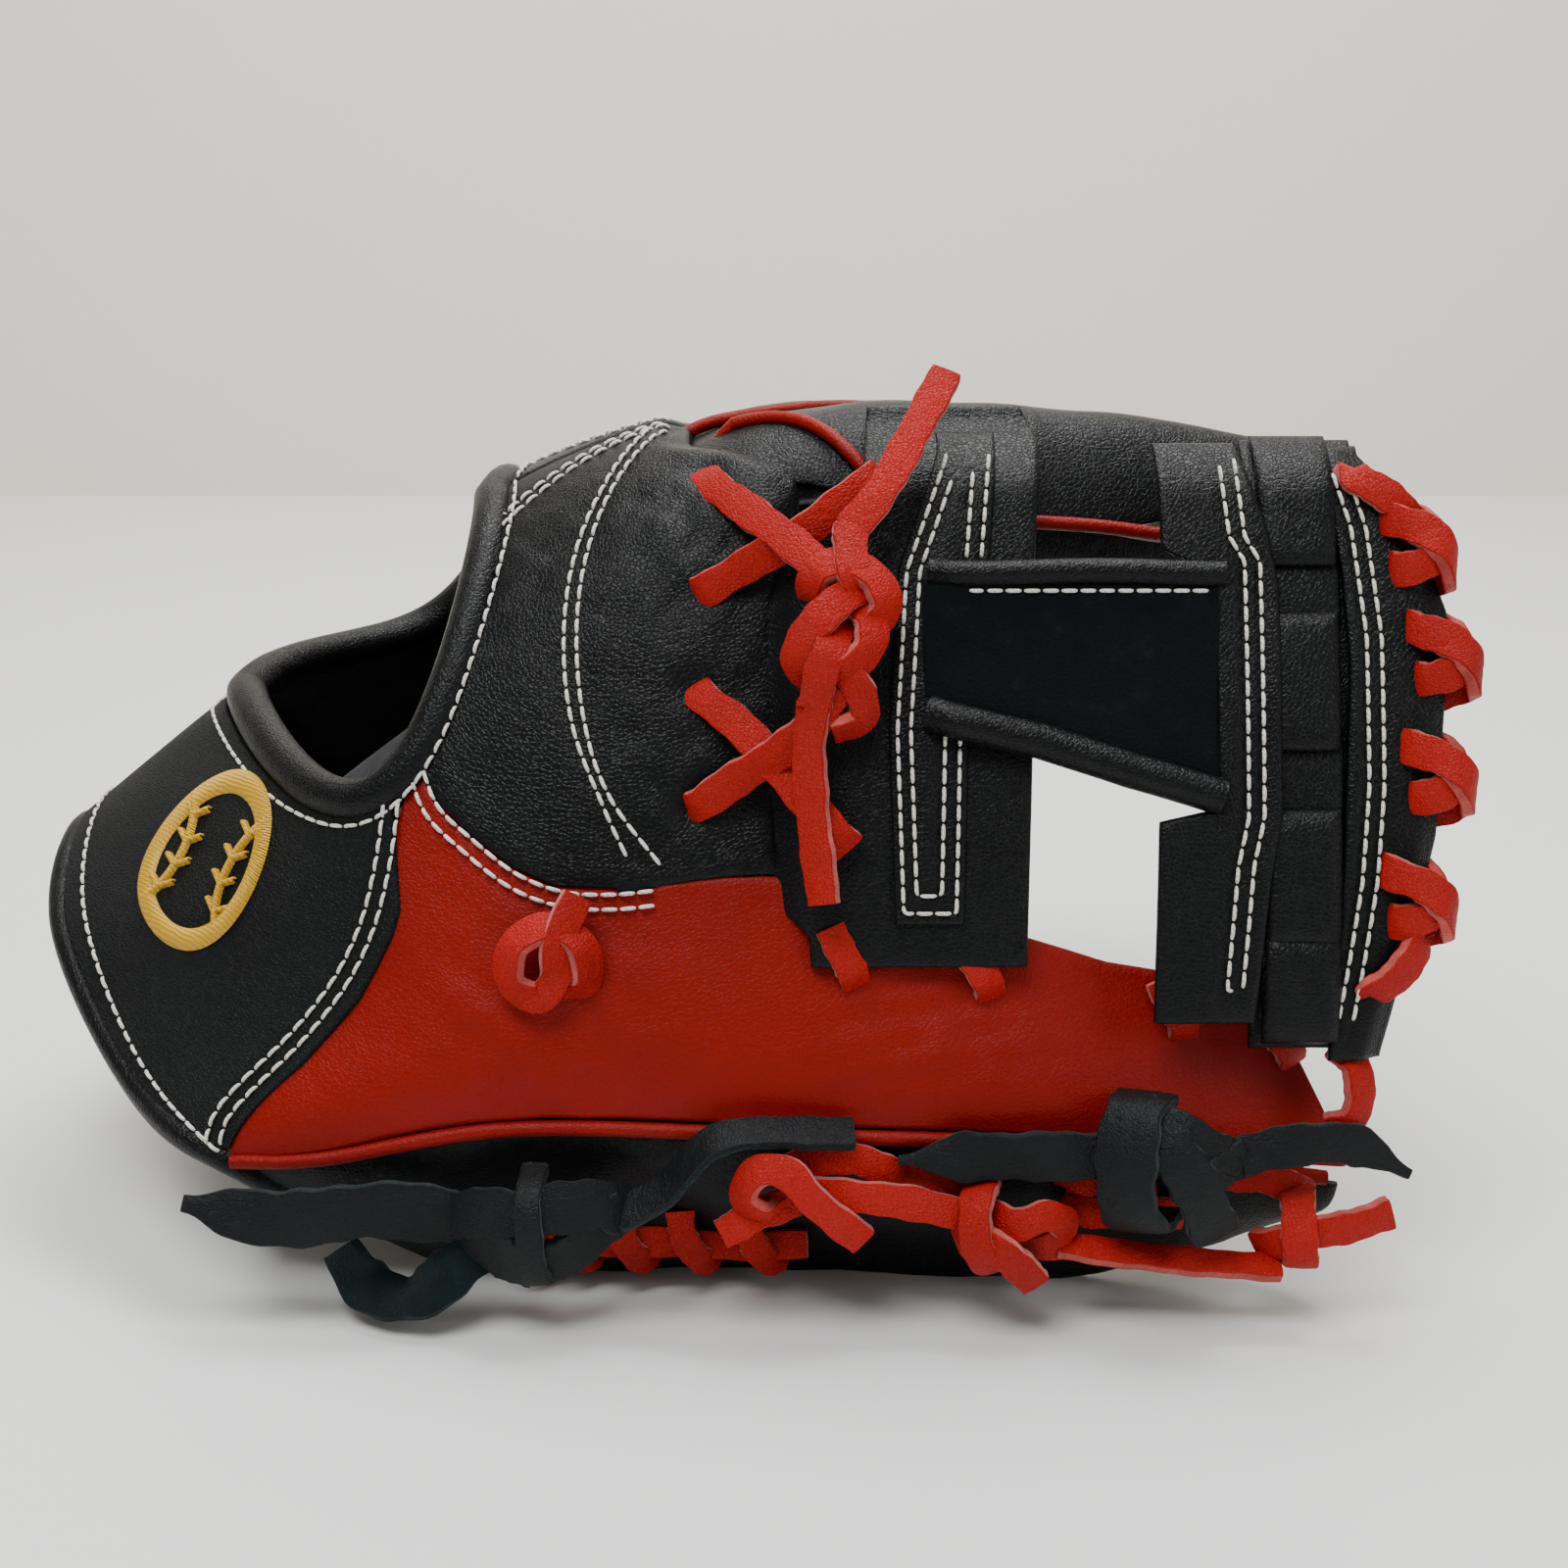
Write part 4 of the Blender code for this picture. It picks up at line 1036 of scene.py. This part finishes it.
def build_crossbar():
    def area(s, t):
        x = BAR_ENDS[0] + (BAR_ENDS[1] - BAR_ENDS[0]) * s
        low = line(BAR_LOW, x)
        dish = 0.8 * np.sin(math.pi * t)
        return x, low + (BAR_TOP - low) * t, 2.0 + (2.6 - dish) * smooth((x - BAR_ENDS[0]) / 7.0)

    web_panel("web_bar_suede", "web_crossbar", area, "suede", thick=1.9, step=1.3, uneven=0.35, seed=43)
    web_roll("web_bar_lower_roll", "crossbar_lower_piping", 29.0, 87.5,
             lambda x: line(BAR_LOW, x) - 2.6 + 0.3 * np.sin(x / 9), 7.4, 18)
    web_roll("web_bar_upper_roll", "crossbar_upper_piping", 29.5, 88.5,
             lambda x: 150.2 + 0.25 * np.sin(x / 8), 5.4, 16)


def weave_strap(number, low, high, over):
    """One visible length of the woven strap: it arches over the core, or lies flat under its neighbours."""
    def height(x, z):
        ends = np.clip(np.minimum(z - low + 1.5, high + 1.5 - z) / 5.0, 0, 1)
        side = np.clip(np.minimum(x - WEAVE_SIDES[0], WEAVE_SIDES[1] - x) / 4.0, 0, 1)
        arch = np.sqrt(ends * (2 - ends)) * (0.45 + 0.55 * np.sqrt(side))
        return 1.0 + 3.0 * arch if over else 0.2 + 1.1 * arch

    left, right, tuck = (96.0, 111.5, 1.0) if over else (97.5, 112.5, 3.0)
    area = between(left, right, low - tuck, high + tuck, height)
    web_panel("weave_strap_%d" % number, "web_weave_front", area, thick=1.6, step=1.3, seed=50 + number,
              uneven=0.25)


def build_web():
    """The H web: a panel, a strip and the crossbar, then the right strip, the weave and the band."""
    web_panel("web_panel_left", "web_left_panel",
              between(PANEL_LEFT, PANEL_RIGHT, 73.5, 179.5,
                      lambda x, z: -0.3 - 6.5 * smooth((6.0 - x) / 11.0)),
              uneven=0.5, seed=41, step=1.8)
    outer = along_edge(STRIP_LEFT, 1.7, 173, 85.0) + [(34.4, 85.0)] + along_edge(STRIP_RIGHT, -1.7, 86, 121)
    inner = along_edge(STRIP_LEFT, 4.4, 168, 88.4) + [(31.4, 88.4)] + along_edge(STRIP_RIGHT, -4.7, 89, 121)
    left_rows = [outer, inner, along_edge(STRIP_RIGHT, -1.7, 152, 172.5),
                 along_edge(STRIP_RIGHT, -4.7, 152, 169)]
    web_panel("web_strip_left", "web_left_strip", between(STRIP_LEFT, STRIP_RIGHT, 82.5, 175.0, 1.5),
              thick=1.9, step=1.3, seams=web_grooves(left_rows, 1.5), uneven=0.25, seed=42)
    build_crossbar()
    right_rows = [STRIP_ROW + [(91.4, 70.6)], [(x + 3.1, z) for x, z in STRIP_ROW]]
    web_panel("web_strip_right", "web_right_strip", between(RIGHT_LEFT, RIGHT_RIGHT, 64.0, 173.5, 4.6),
              thick=2.1, step=1.5, seams=web_grooves(right_rows, 4.6), uneven=0.3, seed=44)
    web_panel("weave_core_leather", "web_weave_core", between(94.0, 117.0, 57.0, 173.5, -0.9),
              thick=1.6, step=1.8)
    for number, strap in enumerate(WEAVE):
        weave_strap(number, *strap)
    band_rows = [BAND_ROW, [(x + 3.0, z) for x, z in BAND_ROW]]
    web_panel("web_band", "web_top_band",
              between(BAND_LEFT, BAND_RIGHT, 55.5, 172.5,
                      lambda x, z: 2.3 - 2.4 * smooth((x - line(BAND_RIGHT, z) + 5.0) / 5.0)),
              thick=2.4, step=1.5, seams=web_grooves(band_rows, 2.3), uneven=0.4, seed=45)
    bar_row = [(36, 146.9), (60, 146.9), (86, 146.9)]
    sewn = [(left_rows, 1.7), (right_rows, 4.8), (band_rows, 2.5), ([bar_row], 4.5)]
    stitching("web_stitching", [web_seam(one, w) for rows, w in sewn for one in rows])


# ---- laces
# The laces over the band's outer edge: x from the edge, z from the crossing, height off the web.
UNDER_STRAND = [(-6.5, -9.0, -0.5), (-5.2, -8.8, 3.0), (-1.0, -7.4, 4.4), (2.0, -5.6, 3.0), (3.6, -3.4, -1.0),
                (0.0, -1.0, -4.2), (-5.0, 1.0, -3.6)]
OVER_STRAND = [(-8.0, 0.8, -0.5), (-6.4, 0.6, 3.6), (-1.6, -0.6, 6.0), (2.8, -4.2, 5.6), (4.6, -8.6, 2.2),
               (3.8, -11.5, -2.8), (-2.0, -13.5, -4.4)]
STRAND_FACES = [(-0.5, -1, 0.1), (-0.2, -1, 0.1), (0.3, -1, 0.1), (0.8, -0.7, 0), (1, -0.2, 0), (0.4, 1, 0),
                (0, 1, 0)]
TOP_STRAND = [(-9, 0, -0.5), (-7.5, -0.5, 3.4), (-2, -3.5, 4.0), (2.5, -8.0, 1.5), (0, -10, -4)]
FOOT_STRAND = [(-7.5, -4.5, -0.5), (-6.5, -4.0, 3.0), (-2.5, -0.5, 4.4), (1.5, 4.5, 3.0), (2.5, 7.0, -3.0)]
CROSSINGS = (159.3, 138.8, 116.5, 92.5)
CROTCH_RUNS = [
    [(-17, 165.8, -3.5), (-15.2, 164.6, 1.9), (-9, 161.5, 5.0), (0, 157.0, 7.4), (7, 152.5, 9.0)],
    [(-18, 143.7, -3.5), (-16, 145.0, 1.9), (-9, 149.5, 4.4), (4, 158, 4.4), (14, 165, 3.4),
     (19, 168.5, 1.2)],
    [(-18.5, 125.8, -3.5), (-16.3, 124.6, 1.9), (-9, 120, 4.4), (0, 112, 4.4), (9, 103, 4.2),
     (12.5, 98.5, 1.2)],
    [(-19, 103.2, -3.5), (-17, 104.5, 1.9), (-9, 110.5, 5.4), (0, 117.5, 7.6), (5.5, 123, 8.4),
     (10, 130, 8.0)],
]
WEB_FOOT_RUNS = [
    [(9, 80, 3.5), (11, 76, 3.4), (13.5, 72.0, 2.4), (14.5, 70.0, -1.0)],
    [(36, 77, 3.5), (38, 73, 3.4), (41, 69.0, 2.4), (42, 67.0, -1.0)],
    [(76, 68, 3.5), (78, 64, 3.2), (81, 59.5, 2.2), (82, 57.5, -1.0)],
    [(97, 62, 3.5), (100, 57, 3.2), (103.5, 53, 2.0), (105, 51, -1.0)],
]
WELT_RUNS = [
    [(0, 33.5, 3.0), (6, 37.2, 4.4), (14, 37.6, 4.6), (21, 34.5, 4.2), (25, 31, 1.8)],
    [(24, 32.5, 2.4), (30, 31.5, 4.2), (37, 27.5, 3.8)],
    [(57, 25, 1.8), (62, 24.6, 4.2), (70, 25.2, 4.4), (78, 23.5, 3.8), (81.5, 21, 1.4)],
    [(56, 33, 1.4), (62, 31.6, 3.4), (70, 30.5, 3.2), (75, 30, 1.3)],
    [(90, 30.5, 1.8), (97, 30.6, 3.6), (104, 28, 3.2), (107, 25, 1.0)],
]
HEEL_STITCH = [(4.6, 7.8, 0.6), (3.8, 9.2, 4.4), (1.2, 13.0, 5.4), (-1.0, 17.0, 3.8), (-1.6, 19.4, 0.2)]
TIP_RING = [(112, -6, 57), (115.5, -9, 54), (116.2, -12, 48), (114, -14, 43.5), (109.5, -13.5, 42)]
THUMB_LOOP = [
    (-43.5, 68.5, -1.5), (-39.5, 71.5, 2.5), (-40.5, 77.5, 6.0), (-46.5, 80.5, 7.4), (-53, 77, 7.0),
    (-54, 70.5, 5.2), (-49, 67.8, 3.4), (-45.5, 71.5, 4.4), (-44.5, 78.5, 7.6), (-41, 86.5, 7.0)]
THUMB_LOOP_FACES = [(0.5, 0, -0.4), (0.9, 0, 0), (0.7, 0, 0.5), (0, 0, 0.8), (-0.7, 0, 0.4), (-0.8, 0, -0.2),
                    (-0.2, 0, -0.5), (0.5, 0, 0), (0.6, 0, 0.1), (0.6, 0, 0)]
THONG_LOOP = [(-57, -16, 23), (-64, -19.5, 16.5), (-72, -20.5, 9.5), (-79, -19, 6.6), (-86, -16.5, 9),
              (-91, -14, 15.5)]
THONG_LOOP_FACES = [(0.2, -1, 0.3), (0.3, -1, 0.5), (0.1, -0.8, 0.9), (0, -0.4, 1), (-0.6, -0.7, 0.6),
                    (-0.8, -0.8, 0.3)]


def in_front(x, z, y):
    """A point given as across, up and depth."""
    return np.array((x, y, z))


KNOT_CUTS = 16           # fine steps from one stop of a strand to the next
KNOT_FRONT = 14.0        # how much more a strand faces the front than it faces away from the knot's middle
# Each knot: look, body, node, width, thickness, how its stops are given, and its strands with their shares
# of the width.
KNOTS = {
    "crotch_knot_tied": ("red_lace", "hand", "crotch_knot", 6.8, 3.0, on_web, [
        (0.95, [(8, 146, 5), (5.2, 147.5, 9), (7.2, 152, 12), (12.5, 153.5, 13), (18, 150.5, 13),
                (20, 145.5, 12), (17, 141.5, 10), (12, 141, 7)]),
        (1.0, [(17, 148.5, 8), (13, 148, 12.5), (8, 144.5, 14.2), (4, 140, 13.2), (3, 135, 11),
               (5.5, 131, 8)]),
        (0.95, [(13, 146, 9), (17, 143, 12), (16.5, 138, 13.2), (12, 134, 12.5), (6.5, 133.5, 10),
                (3, 136, 8)]),
        (1.0, [(15, 147, 9), (13.8, 151, 13.6), (13.2, 155, 13.2), (13, 160.5, 12)]),
        (1.0, [(11, 142, 9), (9, 138, 14), (7.2, 133, 12.8), (6, 126.5, 10.5)]),
        (0.9, [(10, 139, 9), (13, 133, 11.5), (15.5, 128, 10), (15.2, 123.5, 8.0), (9.5, 121.5, 7.6)])]),
    "thumb_bow_tied": ("black_lace", "thumb", "thumb_bow", 8.2, 2.6, in_front, [
        (1.5, [(73, 49, -14), (69.5, 49, -21), (67.6, 41, -25), (68.2, 31, -25.5), (71.5, 24.5, -22),
               (76, 24, -15)]),
        (1.2, [(70, 47, -18), (76, 43, -25.5), (81.5, 35, -26.5), (84.5, 28, -25), (86.5, 23, -22.5)]),
        (0.9, [(72, 48, -19), (79, 45.5, -23), (86, 40.5, -21.5), (92, 37.5, -18.5)]),
        (1.1, [(77, 34, -16), (84, 35, -22.5), (88.5, 37, -20), (92, 38.2, -18.5)]),
        (1.1, [(76, 37, -16), (71, 38, -19), (67.5, 38, -18.6)])]),
    "thumb_tip_knot_tied": ("red_lace", "thumb", "thumb_tip_knot", 6.4, 3.0, in_front, [
        (1.1, [(105, 27, -11), (103.8, 25.5, -19), (104, 19.5, -21.5), (105, 15.2, -19), (105, 15, -12)]),
        (1.0, [(97, 16.5, -14), (101, 19, -18), (108, 21.5, -18.8), (115, 22.5, -18), (123, 24.8, -16.5)])]),
    "welt_knot_a": ("red_lace", "thumb", "welt_knot_1", 6.6, 3.0, in_front, [
        (0.95, [(3, 27.5, -17), (-4.5, 27.5, -22), (-8, 32, -23.5), (-5, 37.5, -24), (1, 37, -24.6),
                (5.5, 32, -25.4), (10.5, 27, -24.6), (15.7, 22, -23)]),
        (0.95, [(3, 29.5, -19), (-4, 27, -20.5), (-12.7, 22.8, -22.5)]),
        (1.0, [(0, 30, -18.5), (11, 31, -21.5), (24, 29.8, -22.0), (35, 27, -21.6), (43, 24.5, -18.5)])]),
    "welt_knot_b": ("red_lace", "thumb", "welt_knot_2", 6.6, 3.0, in_front, [
        (1.0, [(41, 31, -15), (38.5, 30, -22.5), (38.5, 23, -25.5), (41, 17, -24), (45, 15, -18)]),
        (1.0, [(36, 19, -17), (41.5, 22, -25.5), (46, 18.5, -26), (50.5, 13, -24)]),
        (0.95, [(40, 26, -17), (46, 25.5, -23.5), (52.5, 27, -22.5), (56.5, 23, -19.5), (51, 19.5, -20.5),
                (45, 20, -18)]),
        (0.85, [(47, 20, -20), (51.5, 19.2, -20), (56.5, 18.4, -18.5)])]),
    "wrist_thong_tied": ("black_lace", "thumb", "wrist_thong_knot", 8.6, 2.5, in_front, [
        (1.15, [(-67.5, 25, -18.5), (-60, 28, -23.5), (-52, 28.5, -25), (-44, 29.5, -24), (-36.5, 29, -21),
                (-32.5, 26, -18.5)]),
        (0.6, [(-50, 35, -17), (-50.8, 31.5, -26.5), (-50.2, 22, -28), (-49.5, 14.5, -25), (-48, 12, -18)]),
        (1.35, [(-66, 24, -18.5), (-60, 21, -22.5), (-54, 18, -24.5), (-49.5, 16.5, -24)]),
        (1.2, [(-50, 16.5, -24), (-43, 19.5, -23.5), (-36, 24.5, -20), (-32.5, 26.5, -18)])]),
}


def crotch_point(x, z, lift):
    """A point in front of both the back leather's edge and the web."""
    share = smooth((x + 12.0) / 22.0)
    wall = near(min(x, -4.0), z, lift)
    front = on_web(x, z, lift + LEATHER)
    return np.array((x, float(wall[1] + (front[1] - wall[1]) * share), z))


def band_lacing():
    """Laces that cross over the band's outer edge: one strand sweeps down over a shorter one."""
    def placed(strand, z, z_edge):
        edge = float(line(BAND_RIGHT, z_edge))
        return [(edge + x, z + dz, w) for x, dz, w in strand]

    pairs = [placed(strand, z, z - 5) for z in CROSSINGS for strand in (UNDER_STRAND, OVER_STRAND)]
    parts = lace_runs(pairs, on_web, STRAND_FACES, 6.8, 3.0)
    parts += lace_runs([placed(TOP_STRAND, 168, 164)], on_web, (0.3, -1, 0.1), 6.4, 3.0)
    parts += lace_runs([placed(FOOT_STRAND, 74.5, 74)], on_web, (0.3, -1, -0.1), 6.6, 3.0)
    laces("web_edge_lacing", "red_lace", "hand", "web_edge_lace", parts)


def tie(name, look, body, node, width, thick, where, strands):
    """A tied knot, each strand turned away from its middle."""
    strands = [(share, np.array([where(*stop) for stop in stops], float)) for share, stops in strands]
    centre = np.concatenate([stops for _, stops in strands]).mean(0)
    parts = []
    for number, (share, stops) in enumerate(strands):
        route = curve_through(stops, KNOT_CUTS * (len(stops) - 1))
        out = route - centre - (0.0, KNOT_FRONT, 0.0)
        parts.append(ribbon(route, out, width * share, thick, 1.0, seed=number * 3 + len(name), curve=False))
    laces(name, look, body, node, parts)


def build_laces():
    band_lacing()
    laces("crotch_lacing", "red_lace", "hand", "crotch_lace_outer crotch_lace_inner",
          lace_runs(CROTCH_RUNS, crotch_point, (0.1, -1, 0.15), 7.0, 3.0, 1.2))
    laces("web_foot_lacing", "red_lace", "thumb", "",
          lace_runs(WEB_FOOT_RUNS, near, (0.1, -1, 0.4), 6.2, 2.8, 1.2, seed=9))
    for name, knot in KNOTS.items():
        tie(name, *knot)

    out = skin_normal(*find_uv(-47.0, 74.0))
    loop = lace_runs([THUMB_LOOP], near, out + THUMB_LOOP_FACES, 6.4, 2.8, 1.0)
    laces("thumb_base_loop", "red_lace", "hand", "thumb_base_knot", loop)
    thong = ribbon(THONG_LOOP, THONG_LOOP_FACES, 10.5, 2.4, 1.2)
    flat_foot(laces("wrist_thong_loop", "black_edge", "hand", "wrist_thong", [thong]))

    x = np.linspace(-57.0, 5.0, 40)
    run = np.array([near(a, 12.0 + 0.5 * math.sin(a / 6.0), 2.2) for a in x])
    stitches = [[(a + dx, z, w) for dx, z, w in HEEL_STITCH] for a in (-54, -45, -33, -20, -6)]
    parts = [ribbon(run, (0, -1, 0.25), 6.2, 3.0, 1.3, curve=False)]
    parts += lace_runs(stitches, near, (0.1, -1, 0.2), 5.8, 2.6)
    laces("heel_whip_lace", "red_lace", "thumb", "heel_lace", parts)
    laces("welt_lacing", "red_lace", "thumb", "", lace_runs(WELT_RUNS, near, (0, -1, 0.3), 6.4, 2.8, seed=7))
    laces("thumb_tip_lacing", "red_lace", "thumb", "", [ribbon(TIP_RING, (0.5, -1, 0.0), 6.2, 2.9, 1.0)])


# ---- emblem
EMBLEM_MIDDLE = (0.56, 2.95)   # u and v of the embroidery's middle
EMBLEM_SIZE = 17.2             # its radius, mm
EMBLEM_THREAD = 0.62


def forward(way, axis):
    """The direction at length 1, turned so that it points forward along an axis."""
    return way / np.linalg.norm(way) * (1 if way[axis] > 0 else -1)


def emblem_point(x, z, w):
    """A point of the wrist patch from the emblem's own across and up, in mm."""
    u, v = EMBLEM_MIDDLE
    step = 0.05
    along = (on_skin(u + step, v, 0.0) - on_skin(u - step, v, 0.0)) / (2 * step)
    around = (on_skin(u, v + step, 0.0) - on_skin(u, v - step, 0.0)) / (2 * step)
    out = np.cross(along, around)
    level = forward(np.cross(out, (0.0, 0.0, 1.0)), 0)
    rise = forward(np.cross(out, level), 2)
    turned = np.linalg.pinv(np.stack([along, around], 1)) @ np.stack([level, rise], 1)
    return on_skin(u + turned[0, 0] * x + turned[0, 1] * z, v + turned[1, 0] * x + turned[1, 1] * z, w)


def satin(path, width):
    """Satin stitch: threads laid side by side across a path in the emblem's plane."""
    slant = 0.35
    share = np.linspace(-1, 1, 7)
    height = 1.35 + 1.3 * np.sqrt(np.clip(1.02 - share ** 2, 0, 1))
    path = even(path, 0.52)
    ahead = np.gradient(path, axis=0)
    ahead /= np.linalg.norm(ahead, axis=1, keepdims=True)
    parts = []
    for (x, z), (dx, dz) in zip(path, ahead):
        reach = share * width / 2
        run = emblem_point(x + (slant * dx - dz) * reach, z + (dx + slant * dz) * reach, height)
        up = np.broadcast_to(emblem_point(x, z, 5.0) - emblem_point(x, z, 0.0), run.shape)
        parts.append(swept(run, up, round_section(EMBLEM_THREAD, 6)))
    return parts


def ball_seam(side, angle):
    """x of the ball's curved seam on one side."""
    return side * EMBLEM_SIZE * (1.2 - 0.72 * np.cos(angle))


def build_emblem():
    """A plain embroidered ball: a ring with two curved seams and their cross stitches."""
    turn = np.linspace(0, math.tau, 90)
    parts = satin(EMBLEM_SIZE * np.stack([np.cos(turn), np.sin(turn)], -1), 4.6)
    for side in (-1, 1):
        bow = np.linspace(-0.95, 0.95, 40)
        parts += satin(np.stack([ball_seam(side, bow), 0.86 * EMBLEM_SIZE * np.sin(bow)], -1), 1.7)
        for z in (-8.4, -2.8, 2.8, 8.4):
            x = ball_seam(side, z / EMBLEM_SIZE * 1.16)
            parts += satin([(x - side * 3.6, z + 1.9), (x, z), (x + side * 3.6, z + 1.9)], 0.9)
    points, faces, _ = merge(parts)
    object_from("emblem_embroidery", points, faces, "gold", "hand", "emblem")


# ---- studio (metres)
FLOOR_SIZE = 4.0
WALL_AT = 0.95
WALL_HEIGHT = 3.0


def stage_object(name, corners, colour, rough):
    mesh = bpy.data.meshes.new(name)
    mesh.from_pydata(corners, [], [(0, 1, 2, 3)])
    mesh.shade_smooth()
    made = bpy.data.objects.new(name, mesh)
    bpy.context.scene.collection.objects.link(made)
    look = bpy.data.materials.new(name)
    look.use_nodes = True
    fill(look.node_tree, look.node_tree.nodes["Principled BSDF"],
         {"Base Color": (*colour, 1.0), "Roughness": rough})
    mesh.materials.append(look)


def area_light(name, at, aim, size, power):
    data = bpy.data.lights.new(name, "AREA")
    data.shape = "RECTANGLE"
    data.size, data.size_y = size
    data.energy = power
    lamp = bpy.data.objects.new(name, data)
    lamp.location = at
    lamp.rotation_euler = (Vector(aim) - Vector(at)).to_track_quat("-Z", "Y").to_euler()
    bpy.context.scene.collection.objects.link(lamp)


def build_studio():
    """A pale floor and wall in soft light."""
    far = FLOOR_SIZE
    stage_object("floor", [(-far, -far, 0), (far, -far, 0), (far, far, 0), (-far, far, 0)],
                 (0.75, 0.755, 0.75), 0.4)
    world = bpy.data.worlds.new("studio")
    world.use_nodes = True
    fill(world.node_tree, world.node_tree.nodes["Background"],
         {"Color": (0.80, 0.78, 0.72, 1.0), "Strength": 0.33})
    bpy.context.scene.world = world
    stage_object("wall", [(-far, WALL_AT, 0), (far, WALL_AT, 0), (far, WALL_AT, WALL_HEIGHT),
                          (-far, WALL_AT, WALL_HEIGHT)], (0.78, 0.735, 0.65), 0.6)
    area_light("wall_wash", (0.0, 0.1, 1.6), (0, WALL_AT, 0.3), (1.6, 0.3), 7.0)
    area_light("key", (-0.35, -0.7, 1.5), (0, 0, 0.08), (0.9, 0.7), 25.0)
    area_light("top", (0.1, 0.35, 1.3), (0, 0, 0.1), (0.8, 0.5), 20.0)
    area_light("fill", (1.2, -0.9, 0.7), (0, 0, 0.1), (0.7, 0.7), 5.0)


# ---- build
set_camera()
add_cords()
build_back()
shell_side("red_thumb_shell", "thumb_base_leather thumb_back", 4.94, "thumb")
shell_side("red_heel_far", "little_heel_leather", 3.0, "far_heel")
build_wrist_patch()
build_underside()
build_palm()
build_bindings()
build_seams()
build_fingers()
build_web()
build_laces()
build_emblem()
build_studio()
